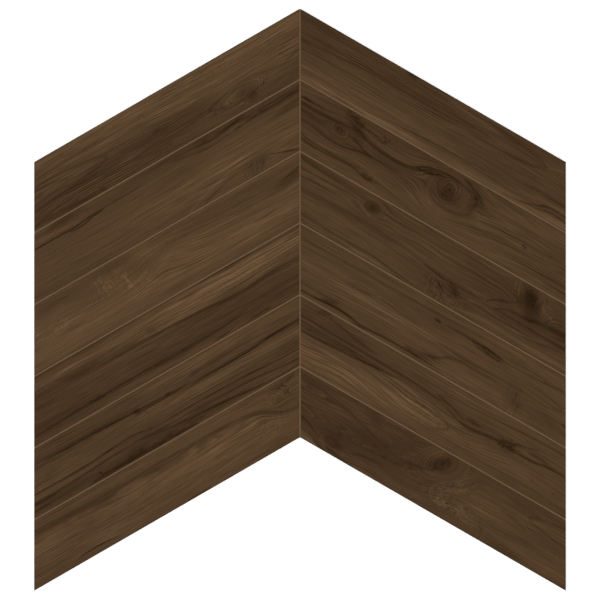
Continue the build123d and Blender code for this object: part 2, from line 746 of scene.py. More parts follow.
@dataclass
class JointFiller:
    """The filled joints: a struck, slightly sandy bead in every gap between two planks."""

    sizes: SheetSizes
    edge_drop: float = 0.7 * MM
    dish: float = 0.3 * MM
    back_recess: float = 0.5 * MM
    cell: float = 1.2 * MM
    spine_cell: float = 0.6 * MM
    cells_across: int = 8
    sand: float = 0.05 * MM
    sand_grain: float = 0.9 * MM
    seed_spread: float = 999.0

    @property
    def striker(self) -> float:
        """Radius of the round tool that leaves the dish."""
        return ((self.sizes.joint / 2) ** 2 + self.dish**2) / (2 * self.dish)

    @cached_property
    def tree(self) -> StraightShape:
        """Builds the Geometry Nodes tree of one run of filler.

        Returns:
            The tree.
        """
        named = {"Length": float, "First crossing": float, "Crossed": bool, "Cells": int}
        shape = StraightShape("filler_shape", named)
        size = {
            "Size": (1.0, 1.0, 1.0),
            "Vertices X": shape.take("Cells"),
            "Vertices Y": self.cells_across + 1,
            "Vertices Z": 2,
        }
        block = shape.run("GeometryNodeMeshCube", size, "Mesh")
        x, y, z = shape.position()
        along = (x + 0.5) * shape.take("Length")
        across = y * self.sizes.joint
        dished = self.struck(across)
        slope = math.tan(self.sizes.angle)
        offset = along - shape.take("First crossing") - abs(across) * slope
        nearest = offset.apply("WRAP", self.sizes.pitch / 2, -self.sizes.pitch / 2)
        crossing = self.struck(nearest * math.cos(self.sizes.angle))
        crossing = crossing + (1.0 - shape.take("Crossed")) * self.sizes.thickness
        top = dished.apply("MINIMUM", crossing)
        grain = 1 / self.sand_grain
        seed = shape.take("First crossing") * self.seed_spread
        sandy = shape.noise(along * grain, across * grain, seed, 1.0)
        middle = 1.0 - (y * 2.0) ** 2.0
        top = top + sandy * middle * self.sand
        height = (z > 0.0) * (top - self.back_recess) + self.back_recess
        shape.lay_out(shape.placed(block, along, across, height))
        return shape

    def struck(self, distance: Signal) -> Signal:
        """Gives the height of the struck surface.

        Args:
            distance: How far a place is from the bead's middle.

        Returns:
            The height.
        """
        edge = self.sizes.thickness - self.edge_drop
        centre = edge - self.dish + self.striker
        inside = (self.striker**2 - distance * distance).apply("MAXIMUM", 0.0)
        return centre - inside.apply("SQRT")

    def make_row(self, side: Side, row: int, finish: bpy.types.Material) -> bpy.types.Object:
        """Builds the bead under one row of planks and hands it over.

        Args:
            side: The column.
            row: The row above the joint.
            finish: The filler.

        Returns:
            The bead.
        """
        name = side.name.lower()
        middle = self.sizes.lower_edge(row) - self.sizes.joint_cut / 2
        inputs = {
            "Length": self.sizes.column,
            "First crossing": row * MM,
            "Crossed": False,
            "Cells": round(self.sizes.column / self.cell),
            "Material": finish,
        }
        layout = Layout.on_slope(self.sizes, side, middle)
        piece = self.tree.make(f"joint_{name}_{row + 1}", {**inputs, **layout.inputs()})
        hand_over(piece, [f"row_joints_{name}"])
        return piece

    def make_spine(self, first_row: int, last_row: int, finish: bpy.types.Material) -> bpy.types.Object:
        """Builds the bead between the columns, beside the given rows, and hands it over.

        Args:
            first_row: The first row that it runs beside.
            last_row: The last one.
            finish: The filler.

        Returns:
            The bead.
        """
        top = self.sizes.point - first_row * self.sizes.pitch
        bottom = self.sizes.lower_edge(last_row)
        if last_row + 1 < self.sizes.rows:
            bottom -= self.sizes.joint_cut
        length = top - bottom
        slope = math.tan(self.sizes.angle)
        inputs = {
            "Length": length,
            "First crossing": self.sizes.mitre + self.sizes.joint_cut / 2 - self.sizes.inner * slope,
            "Crossed": True,
            "Cells": round(length / self.spine_cell),
            "Material": finish,
        }
        layout = Layout(Vector((0.0, top, 0.0)), Vector((0, -1, 0)), Vector((1, 0, 0)), False)
        name = f"spine_joint_rows_{first_row + 1}-{last_row + 1}"
        piece = self.tree.make(name, {**inputs, **layout.inputs()})
        hand_over(piece, ["spine_joint"])
        return piece


# The print


@dataclass(frozen=True)
class Ground:
    """What every mark of one plank's print is worked out from, as signals in millimetres."""

    sketch: NodeSketch
    groups: "MarkGroups"
    out: Signal
    up: Signal
    along: Signal
    seed: float
    ragged: Optional[Signal] = None
    mottle: Optional[Signal] = None
    threads: Optional[Signal] = None


class MarkGroups:
    """The node groups that the marks of all the planks share."""

    @cached_property
    def streak(self) -> GroupSketch:
        """A line that follows a path, tapers at its ends and fades by a different width each way.

        Returns:
            The group.
        """
        course = ("Out", "Up", "Centre", "Start", "End", "Above", "Below")
        colour = ("Tone", "Break", "Mottle", "Threads")
        group = GroupSketch("print_streak", course + colour)
        out, up, centre, start, end, above, below = group.take(*course)
        tone, share, mottle, threads = group.take(*colour)
        offset = up - centre
        run = ((out - start) / (end - start)).apply("MAXIMUM", 0.0).apply("MINIMUM", 1.0)
        taper = (run * (1.0 - run) * 4.0 + 0.0001) ** 0.35
        width = below + (above - below) * (offset > 0.0)
        fade = (offset / (width * taper + 0.05)).bell()
        broken = (mottle * 0.6 + threads * 0.9) * share + 1.0
        return group.give(fade * taper * tone * broken)

    @cached_property
    def oval(self) -> GroupSketch:
        """How far a place is from the middle of a turned oval, 1 on its rim.

        Returns:
            The group.
        """
        names = ("Out", "Up", "Middle out", "Middle up", "Long", "High", "Cosine", "Sine")
        group = GroupSketch("print_oval", names)
        out, up, middle_out, middle_up, long, high, cosine, sine = group.take(*names)
        x = out - middle_out
        y = up - middle_up
        first = (x * cosine + y * sine) / long
        second = (y * cosine - x * sine) / high
        return group.give((first * first + second * second).apply("SQRT"))

    @cached_property
    def arc(self) -> GroupSketch:
        """How far a place is inside a rounded arch that opens along the plank, in millimetres.

        Returns:
            The group.
        """
        names = ("Out", "Up", "Tip out", "Tip up", "Spread", "Way")
        group = GroupSketch("print_arc", names)
        out, up, tip_out, tip_up, spread, way = group.take(*names)
        y = up - tip_up
        inside = (out - tip_out) * way - y * y / spread
        slope = y * 2.0 / spread
        return group.give(inside / (slope * slope + 1.0).apply("SQRT"))


Place = tuple[float, float]
Colour = tuple[float, float, float]
Edges = tuple[float, float, float, float]

PLANK_REACH = 346.0
RUN_ON = 70.0
PATH_START, PATH_SPAN = -20.0, 390.0
PATH_FLOOR, PATH_RISE = -20.0, 120.0


def run_on(end: float) -> float:
    """Carries the end of a mark that reaches a plank's edge well past it, so that it doesn't taper.

    Args:
        end: Where the mark ends, outwards from the plank's inner end.

    Returns:
        Where it then ends.
    """
    if end >= PLANK_REACH:
        return end + RUN_ON
    return end - RUN_ON if end <= 0.0 else end


class PrintMark:
    """Whatever is laid on a plank's print. It may turn the fibres, and it may add to the tone."""

    def shape(self, ground: Ground, growth: Signal) -> Signal:
        """Says how the fibres run round the mark, which leaves them alone unless it says more.

        Args:
            ground: The plank's signals.
            growth: The place across the fibres, whose lines of equal value are the grain.

        Returns:
            The place across the fibres with the mark in it.
        """
        return growth

    def mark(self, ground: Ground, tone: Signal) -> Signal:
        """Adds the mark to the print's tone.

        Args:
            ground: The plank's signals.
            tone: The tone so far, 0 where nothing is added.

        Returns:
            The tone with the mark in it.
        """
        return tone


@dataclass(frozen=True)
class Streak(PrintMark):
    """A line or a band of colour along a path of (out, up) points."""

    path: tuple[Place, ...]
    above: float
    below: float
    tone: float
    ragged: float = 0.5
    carry: float = 0.0

    def centre(self, ground: Ground) -> Signal:
        """Gives the height of the path at each place along the plank.

        Args:
            ground: The plank's signals.

        Returns:
            The height, in millimetres.
        """
        sketch = ground.sketch
        node = sketch.add("ShaderNodeFloatCurve")
        curve = node.mapping.curves[0]
        scaled = [((x - PATH_START) / PATH_SPAN, (y - PATH_FLOOR) / PATH_RISE) for x, y in self.path]
        for place in scaled[2:]:
            curve.points.new(*place)
        for point, place in zip(curve.points, sorted(scaled)):
            point.location = place
        node.mapping.extend = "HORIZONTAL"
        node.mapping.update()
        sketch.join(node.inputs["Value"], (ground.out - PATH_START) / PATH_SPAN)
        return Signal(sketch, node.outputs[0]) * PATH_RISE + PATH_FLOOR

    def shape(self, ground: Ground, growth: Signal) -> Signal:
        """Carries the fibres near the streak along with it.

        Args:
            ground: The plank's signals.
            growth: The place across the fibres.

        Returns:
            The place across the fibres with the mark in it.
        """
        if not self.carry:
            return growth
        rest = sum(y for _, y in self.path) / len(self.path)
        centre = self.centre(ground)
        return growth + (rest - centre) * ((ground.up - centre) / self.carry).bell()

    def mark(self, ground: Ground, tone: Signal) -> Signal:
        """Adds the streak to the print's tone.

        Args:
            ground: The plank's signals.
            tone: The tone so far.

        Returns:
            The tone with the mark in it.
        """
        inputs = {
            "Out": ground.out,
            "Up": ground.up + ground.ragged * self.ragged,
            "Centre": self.centre(ground),
            "Start": run_on(self.path[0][0]),
            "End": run_on(self.path[-1][0]),
            "Above": self.above,
            "Below": self.below,
            "Tone": self.tone,
            "Break": min(1.0, 2.5 / (self.above + self.below)),
            "Mottle": ground.mottle,
            "Threads": ground.threads,
        }
        return tone + ground.sketch.use(ground.groups.streak, inputs)


def oval_radius(ground: Ground, middle: Place, half: Place, turn: float) -> Signal:
    """Gives how far each place is from the middle of a turned oval, 1 on its rim.

    Args:
        ground: The plank's signals.
        middle: The oval's middle.
        half: Its half length and half height.
        turn: How far it is turned, in degrees, upwards at its outer end.

    Returns:
        The radius.
    """
    inputs = {
        "Out": ground.out,
        "Up": ground.up,
        "Middle out": middle[0],
        "Middle up": middle[1],
        "Long": half[0],
        "High": half[1],
        "Cosine": math.cos(math.radians(turn)),
        "Sine": math.sin(math.radians(turn)),
    }
    return ground.sketch.use(ground.groups.oval, inputs)


@dataclass(frozen=True)
class Patch(PrintMark):
    """A soft or ragged oval of lighter or darker colour."""

    middle: Place
    half: Place
    tone: float
    turn: float = 0.0
    soft: float = 0.6
    ragged: float = 0.15

    def mark(self, ground: Ground, tone: Signal) -> Signal:
        """Adds the patch to the print's tone.

        Args:
            ground: The plank's signals.
            tone: The tone so far.

        Returns:
            The tone with the mark in it.
        """
        radius = oval_radius(ground, self.middle, self.half, self.turn) + ground.ragged * self.ragged
        fade = ground.sketch.ease(radius, 1.0 + self.soft, 1.0 - self.soft)
        return tone + fade * self.tone * (ground.threads * 0.8 + 1.0)


@dataclass(frozen=True)
class Bend(PrintMark):
    """A place where the fibres part, swell into loops or stand out more."""

    middle: Place
    half: Place
    push: float = 0.0
    swell: float = 0.0
    turn: float = 0.0
    clear: float = 0.0
    tilt: float = 0.0

    def shape(self, ground: Ground, growth: Signal) -> Signal:
        """Parts, swells and tilts the fibres.

        Args:
            ground: The plank's signals.
            growth: The place across the fibres.

        Returns:
            The place across the fibres with the mark in it.
        """
        fade = oval_radius(ground, self.middle, self.half, self.turn).bell()
        parted = (ground.up - self.middle[1]) * -self.push
        tilted = (ground.out - self.middle[0]) * self.tilt
        return growth + (parted + tilted + self.swell) * fade

    def mark(self, ground: Ground, tone: Signal) -> Signal:
        """Makes the fibres stand out more.

        Args:
            ground: The plank's signals.
            tone: The tone so far.

        Returns:
            The tone with the mark in it.
        """
        if not self.clear:
            return tone
        fade = oval_radius(ground, self.middle, self.half, self.turn).bell()
        return tone + ground.threads * fade * self.clear


@dataclass(frozen=True)
class Knot(PrintMark):
    """A knot: a dark core in rings of fibre, and more fibres that part to pass it."""

    middle: Place
    half: Place
    tone: float
    turn: float = 0.0
    rings: float = 2.5
    ring_tone: float = 0.08
    ring_gap: float = 2.2
    push: float = 0.75

    def radius(self, ground: Ground) -> Signal:
        """Gives how far each place is from the knot's middle, 1 on the core's rim."""
        return oval_radius(ground, self.middle, self.half, self.turn) + ground.ragged * 0.12

    def shape(self, ground: Ground, growth: Signal) -> Signal:
        """Parts the fibres round the knot and turns the nearest ones into rings.

        Args:
            ground: The plank's signals.
            growth: The place across the fibres.

        Returns:
            The place across the fibres with the mark in it.
        """
        reach = (self.half[0] * self.rings * 1.5, self.half[1] * self.rings * 1.2)
        fade = oval_radius(ground, self.middle, reach, self.turn).bell()
        parted = growth + (ground.up - self.middle[1]) * fade * -self.push
        radius = self.radius(ground)
        size = math.sqrt(self.half[0] * self.half[1])
        ringed = radius * (size * 2.0 / self.ring_gap)
        near = ground.sketch.ease(radius, self.rings * 1.2, self.rings * 0.7)
        return parted + (ringed - parted) * near

    def mark(self, ground: Ground, tone: Signal) -> Signal:
        """Adds the rings and the core to the print's tone.

        Args:
            ground: The plank's signals.
            tone: The tone so far.

        Returns:
            The tone with the mark in it.
        """
        sketch = ground.sketch
        radius = self.radius(ground)
        near = sketch.ease(radius, self.rings * 1.2, self.rings * 0.6)
        core = sketch.ease(radius, 1.5, 0.3) * (ground.threads * 0.8 + 0.9)
        halo = sketch.ease(radius, self.rings, 0.8)
        return tone + ground.threads * near * self.ring_tone + core * self.tone + halo * (self.tone * 0.4)


@dataclass(frozen=True)
class Arch(PrintMark):
    """Nested arches in the grain, as where a board is cut across the top of its rings."""

    tip: Place
    spread: float
    tone: float
    opens_out: bool = True
    outline: float = 1.2
    inside: float = 6.0
    fibre: float = 0.08
    length: float = 90.0

    def mark(self, ground: Ground, tone: Signal) -> Signal:
        """Adds the arches to the print's tone.

        Args:
            ground: The plank's signals.
            tone: The tone so far.

        Returns:
            The tone with the mark in it.
        """
        sketch = ground.sketch
        way = 1.0 if self.opens_out else -1.0
        inputs = {
            "Out": ground.out,
            "Up": ground.up,
            "Tip out": self.tip[0],
            "Tip up": self.tip[1],
            "Spread": self.spread,
            "Way": way,
        }
        depth = sketch.use(ground.groups.arc, inputs) + ground.ragged * 0.25
        ahead = (ground.out - self.tip[0]) * way
        fade = sketch.ease(ahead, self.length, self.length * 0.4)
        width = self.outline + (self.inside - self.outline) * (depth > 0.0)
        rim = (depth / width).bell()
        lines = sketch.noise(depth / 1.7, ground.along / 90.0, ground.seed + 9.1, 1.0)
        within = sketch.ease(depth, -self.outline * 2.0, self.outline * 2.0)
        return tone + fade * (rim * self.tone + lines * within * self.fibre)


@dataclass(frozen=True)
class Figure(PrintMark):
    """Curly figure: short wavy stripes across the grain inside an oval."""

    middle: Place
    half: Place
    tone: float
    slant: float
    pitch: float = 4.0
    turn: float = 0.0
    stretch: float = 4.0
    crisp: bool = False

    def mark(self, ground: Ground, tone: Signal) -> Signal:
        """Adds the figure to the print's tone.

        Args:
            ground: The plank's signals.
            tone: The tone so far.

        Returns:
            The tone with the mark in it.
        """
        sketch = ground.sketch
        radius = oval_radius(ground, self.middle, self.half, self.turn) + ground.ragged * 0.2
        fade = sketch.ease(radius, 1.25, 0.45)
        cosine, sine = math.cos(math.radians(self.slant)), math.sin(math.radians(self.slant))
        bend = ground.mottle * (self.pitch * 0.8)
        run = ground.out * cosine + ground.up * sine
        over = ground.up * cosine - ground.out * sine + bend
        seed = ground.seed + self.middle[0]
        stripes = sketch.noise(run / (self.pitch * self.stretch), over / self.pitch, seed, 1.0)
        if self.crisp:
            stripes = sketch.ease(stripes, 0.0, 0.16) * 0.5
        return tone + stripes * fade * (self.tone * 1.6)


def band(path: tuple[Place, ...], width: float, tone: float, ragged: float = 0.5) -> Streak:
    """Makes a streak that fades by the same width both ways."""
    return Streak(path, width, width, tone, ragged)


def cloud(middle: Place, half: Place, tone: float, turn: float = 0.0) -> Patch:
    """Makes a broad shade with a soft rim."""
    return Patch(middle, half, tone, turn, soft=0.8)


def broken(
    middle: Place, half: Place, tone: float, slant: float, pitch: float, stretch: float, turn: float = 0.0
) -> Figure:
    """Makes short broken lines with crisp rims."""
    return Figure(middle, half, tone, slant, pitch, turn, stretch, crisp=True)


@dataclass(frozen=True)
class PlankPrint:
    """The print of one plank: its tone, its seed, and the marks on it from the first to the last."""

    tone: float
    seed: float
    marks: tuple[PrintMark, ...]
    lines: float = 1.0


@dataclass(frozen=True)
class Fibre:
    """One size of fibre in the grain: how long and wide its lines are, in millimetres, and their strength."""

    length: float
    width: float
    seed: float
    detail: float = 0.0
    strength: float = 1.0

    def lines(self, ground: Ground, growth: Signal) -> Signal:
        """Draws the fibres along the growth lines."""
        along = ground.along / self.length
        return ground.sketch.noise(along, growth / self.width, ground.seed + self.seed, self.detail)


def new_material(name: str) -> tuple[bpy.types.Material, NodeSketch, bpy.types.Node]:
    """Makes a material with nothing but its shader.

    Args:
        name: The material's name.

    Returns:
        The material, a sketch of its tree, and its shader.
    """
    material = bpy.data.materials.new(name)
    material.use_nodes = True
    return material, NodeSketch(material.node_tree), material.node_tree.nodes["Principled BSDF"]


@dataclass(frozen=True)
class PrintFinish:
    """The walnut print on the face and the fired body below it."""

    darkest: Colour = (32, 17, 0)
    dark: Colour = (53.5, 36, 16)
    middle: Colour = (75, 54, 33)
    light: Colour = (93, 69.6, 45.2)
    lightest: Colour = (113.5, 86.5, 60.5)
    body: Colour = (132, 112, 92)
    body_speck: Colour = (104, 86, 69)
    roughness: float = 0.62
    body_roughness: float = 0.84
    specular: float = 0.06
    depth: float = 1.2
    relief: float = 0.10 * MM
    ragged: Fibre = Fibre(8.0, 2.4, 3.1, 2.0)
    mottle: Fibre = Fibre(26.0, 5.0, 7.7, 1.0)
    wander: Fibre = Fibre(170.0, 55.0, 0.0, strength=4.0)
    ripple: Fibre = Fibre(38.0, 14.0, 1.3, strength=0.9)
    broad: Fibre = Fibre(230.0, 13.0, 2.2, strength=0.02)
    medium: Fibre = Fibre(120.0, 4.6, 4.4, strength=0.015)
    fine: Fibre = Fibre(130.0, 1.9, 6.6, strength=0.07)
    hair: Fibre = Fibre(36.0, 1.1, 8.8, 1.0, strength=0.12)
    dark_line: Fibre = Fibre(160.0, 2.8, 9.9, strength=0.05)
    pore_clear: Fibre = Fibre(45.0, 9.0, 10.7)
    pore_gap: float = 2.9
    pore_strength: float = 0.08
    dots: float = 0.11
    dot_length: float = 1.3
    clay_specks: float = 900.0
    clay_clouds: float = 35.0
    bump: float = 0.35

    def ramp(self, sketch: NodeSketch, tone: Signal) -> Signal:
        """Turns the print's tone into its colour.

        Args:
            sketch: The material's sketch.
            tone: From 0, darkest, to 1, lightest.

        Returns:
            The colour.
        """
        node = sketch.add("ShaderNodeValToRGB")
        colours = (self.darkest, self.dark, self.middle, self.light, self.lightest)
        stops = node.color_ramp.elements
        for index in range(len(colours) - len(stops)):
            stops.new((index + 1) / (len(colours) - 1))
        for index, (stop, colour) in enumerate(zip(stops, colours)):
            stop.position = index / (len(colours) - 1)
            stop.color = linear(*colour)
        sketch.join(node.inputs[0], tone)
        return Signal(sketch, node.outputs[0])

    def ground(
        self, sketch: NodeSketch, groups: MarkGroups, layout: Layout, sizes: SheetSizes, seed: float
    ) -> Ground:
        """Works out the print's coordinates for one plank.

        Args:
            sketch: The material's sketch.
            groups: The shared mark groups.
            layout: Where the plank lies.
            sizes: The sheet's sizes.
            seed: The plank's seed.

        Returns:
            The signals that the marks use.
        """
        x, y, _ = sketch.parts(sketch.place)
        out = (x - layout.start.x) * (layout.along.x / MM)
        fallen = (y - layout.start.y) / MM + out * math.tan(sizes.angle)
        up = fallen * math.cos(sizes.angle)
        half = sizes.width / MM / 2
        along = out / math.cos(sizes.angle) - (up - half) * math.tan(sizes.angle)
        ground = Ground(sketch, groups, out, up, along, seed)
        return replace(ground, ragged=self.ragged.lines(ground, up), mottle=self.mottle.lines(ground, up))

    def fibres(self, ground: Ground, marks: Sequence[PrintMark], strength: float) -> tuple[Signal, Signal]:
        """Lays the fibres of the grain, parted by knots and carried by streaks.

        Args:
            ground: The plank's signals.
            marks: The plank's marks.
            strength: How strong the fibres are.

        Returns:
            The tone to add, and the finest fibres alone, for the relief.
        """
        growth = ground.up
        for kind in (self.wander, self.ripple):
            growth = growth + kind.lines(ground, ground.up) * kind.strength
        for mark in marks:
            growth = mark.shape(ground, growth)
        broad, medium, fine, hair, dark = (
            kind.lines(ground, growth)
            for kind in (self.broad, self.medium, self.fine, self.hair, self.dark_line)
        )
        line = (1.0 - abs(dark) * 6.0).apply("MAXIMUM", 0.0) - 0.2
        clear = self.pore_clear.lines(ground, growth) + 0.6
        pore = (growth * (2 * math.pi / self.pore_gap) + hair * 2.5).apply("SINE") * clear
        tone = broad * self.broad.strength + medium * self.medium.strength
        tone = tone + fine * self.fine.strength + hair * self.hair.strength
        tone = tone - line * self.dark_line.strength + pore * self.pore_strength
        return tone * strength, fine + hair - line * 0.4 + pore * 0.15

    def painted_edge_shade(self, ground: Ground, sizes: SheetSizes, edges: Edges) -> Signal:
        """Darkens the print along the plank's edges, as painted shade that stands in for the shade on the
        rounded edges and beside the joints.

        Args:
            ground: The plank's signals.
            sizes: The sheet's sizes.
            edges: How much painted shade darkens the upper, lower, inner and outer edges.

        Returns:
            The painted shade, as tone to take away.
        """
        upper, lower, inner, outer = edges
        width, column = sizes.width / MM, sizes.column / MM
        shade = (ground.up - width).bell() * upper + ground.up.bell() * lower
        return shade + ground.out.bell() * inner + (ground.out - column).bell() * outer

    def make(
        self,
        name: str,
        groups: MarkGroups,
        layout: Layout,
        sizes: SheetSizes,
        plank: PlankPrint,
        edges: Edges,
    ) -> bpy.types.Material:
        """Builds the material of one plank.

        Args:
            name: The material's name.
            groups: The shared mark groups.
            layout: Where the plank lies.
            sizes: The sheet's sizes.
            plank: What is printed on it.
            edges: How much painted shade darkens its upper, lower, inner and outer edges.

        Returns:
            The material.
        """
        material, sketch, shader = new_material(name)
        ground = self.ground(sketch, groups, layout, sizes, plank.seed)
        fibre, threads = self.fibres(ground, plank.marks, plank.lines)
        ground = replace(ground, threads=threads)
        tone = fibre
        for mark in plank.marks:
            tone = mark.mark(ground, tone)
        tone = tone * self.depth + plank.tone
        dots = sketch.noise(ground.out / self.dot_length, ground.up, plank.seed + 11.0, 1.0)
        # Painted shade: the print darkens towards every edge, standing in for the shade on the rounded edges
        # and in the joints.
        tone = tone + dots * self.dots - self.painted_edge_shade(ground, sizes, edges)
        height = sketch.parts(sketch.place)[2] / MM
        foot = (sizes.thickness - sizes.bevel) / MM
        printed = sketch.ease(height, foot - 0.05, foot + 0.1)
        speck = sketch.ease(sketch.speckle(self.clay_specks, 3.0), 0.42, 0.66)
        spots = speck * 0.7 + sketch.speckle(self.clay_clouds, 2.0) * 0.3
        fired = sketch.blend(spots, linear(*self.body), linear(*self.body_speck))
        sketch.join(shader.inputs["Base Color"], sketch.blend(printed, fired, self.ramp(sketch, tone)))
        rough = self.body_roughness - printed * (self.body_roughness - self.roughness) + threads * 0.03
        sketch.join(shader.inputs["Roughness"], rough)
        shader.inputs["Specular IOR Level"].default_value = self.specular
        height = threads * printed + speck * 0.5
        bumps = {"Height": height, "Strength": self.bump, "Distance": self.relief}
        sketch.join(shader.inputs["Normal"], sketch.run("ShaderNodeBump", bumps, "Normal"))
        return material


@dataclass(frozen=True)
class FillerFinish:
    """The cement filler: matt, warm brown, with fine sand in it."""

    paste: Colour = (118, 93, 69)
    sand: Colour = (100, 77, 56)
    grains: float = 1500.0
    clouds: float = 60.0
    roughness: float = 0.85
    specular: float = 0.1
    bump: float = 0.3
    relief: float = 0.1 * MM

    def make(self) -> bpy.types.Material:
        """Builds the material.

        Returns:
            The material.
        """
        material, sketch, shader = new_material("joint_filler")
        sand = sketch.speckle(self.grains, 2.0)
        amount = sketch.ease(sand, 0.42, 0.7) * 0.7 + (sketch.speckle(self.clouds, 2.0) - 0.5) * 0.5
        colour = sketch.blend(amount, linear(*self.paste), linear(*self.sand))
        sketch.join(shader.inputs["Base Color"], colour)
        shader.inputs["Roughness"].default_value = self.roughness
        shader.inputs["Specular IOR Level"].default_value = self.specular
        bumps = {"Height": sand, "Strength": self.bump, "Distance": self.relief}
        sketch.join(shader.inputs["Normal"], sketch.run("ShaderNodeBump", bumps, "Normal"))
        return material


# What is printed on each plank

RIGHT_1 = PlankPrint(tone=0.46, seed=11.0, marks=(
    Streak(((0, 72), (120, 71), (240, 72), (346, 75)), 8, 7, -0.06),
    band(((0, 48), (50, 53), (100, 56), (200, 56), (260, 58)), 5, -0.08),
    Streak(((0, 45), (40, 48), (80, 52), (120, 53), (210, 55), (255, 63)), 1.0, 1.2, -0.10),
    Streak(((60, 58), (100, 60), (150, 60), (200, 60), (260, 65)), 0.8, 1.2, -0.08),
    band(((0, 35), (60, 37), (110, 37)), 1.0, -0.08),
    band(((210, 48), (260, 50), (300, 53), (326, 58)), 1.2, -0.12),
    Streak(((0, 3), (100, 4), (200, 2), (346, 4)), 6, 8, 0.19),
    cloud((60, 6), (80, 5), 0.05),
    cloud((25, 66), (60, 12), -0.05),
    cloud((75, 64), (34, 6), 0.04),
    cloud((50, 17), (50, 5), 0.06),
    cloud((10, 40), (30, 6), -0.05),
    cloud((250, 28), (60, 6), -0.03),
    Patch((336, 4), (16, 4), 0.08),
    cloud((105, 3), (48, 5), 0.06),
    Streak(((70, 8), (100, 8.5), (122, 10), (160, 13), (260, 17)), 0.8, 0.7, -0.16),
    band(((190, 74), (220, 71), (260, 68)), 3, 0.11),
    Patch((146, 77.5), (7, 3.5), -0.17, ragged=0.4),
    Arch((322, 60), 3.2, -0.08, opens_out=False, outline=1.0, inside=5.0, length=75),
    band(((285, 52), (310, 54), (326, 61), (346, 67)), 1.0, 0.10),
    band(((290, 28), (320, 28.5), (346, 27)), 2.5, -0.12),
    Streak(((258, 2), (285, 5), (308, 11), (325, 16.5), (346, 16)), 1.1, 1.6, -0.20),
    Streak(((285, 5), (310, 8), (325, 11.5), (346, 10.5)), 1.0, 1.4, -0.16),
    Streak(((265, 12), (300, 17), (325, 20), (346, 20)), 3, 1.5, 0.10),
    Streak(((300, 2), (320, 4), (346, 5)), 3, 4, 0.08),
    Streak(((0, 26), (60, 27), (140, 24), (220, 22)), 6, 4, 0.07),
    band(((0, 16), (60, 20), (130, 19), (220, 17)), 4, 0.10),
))

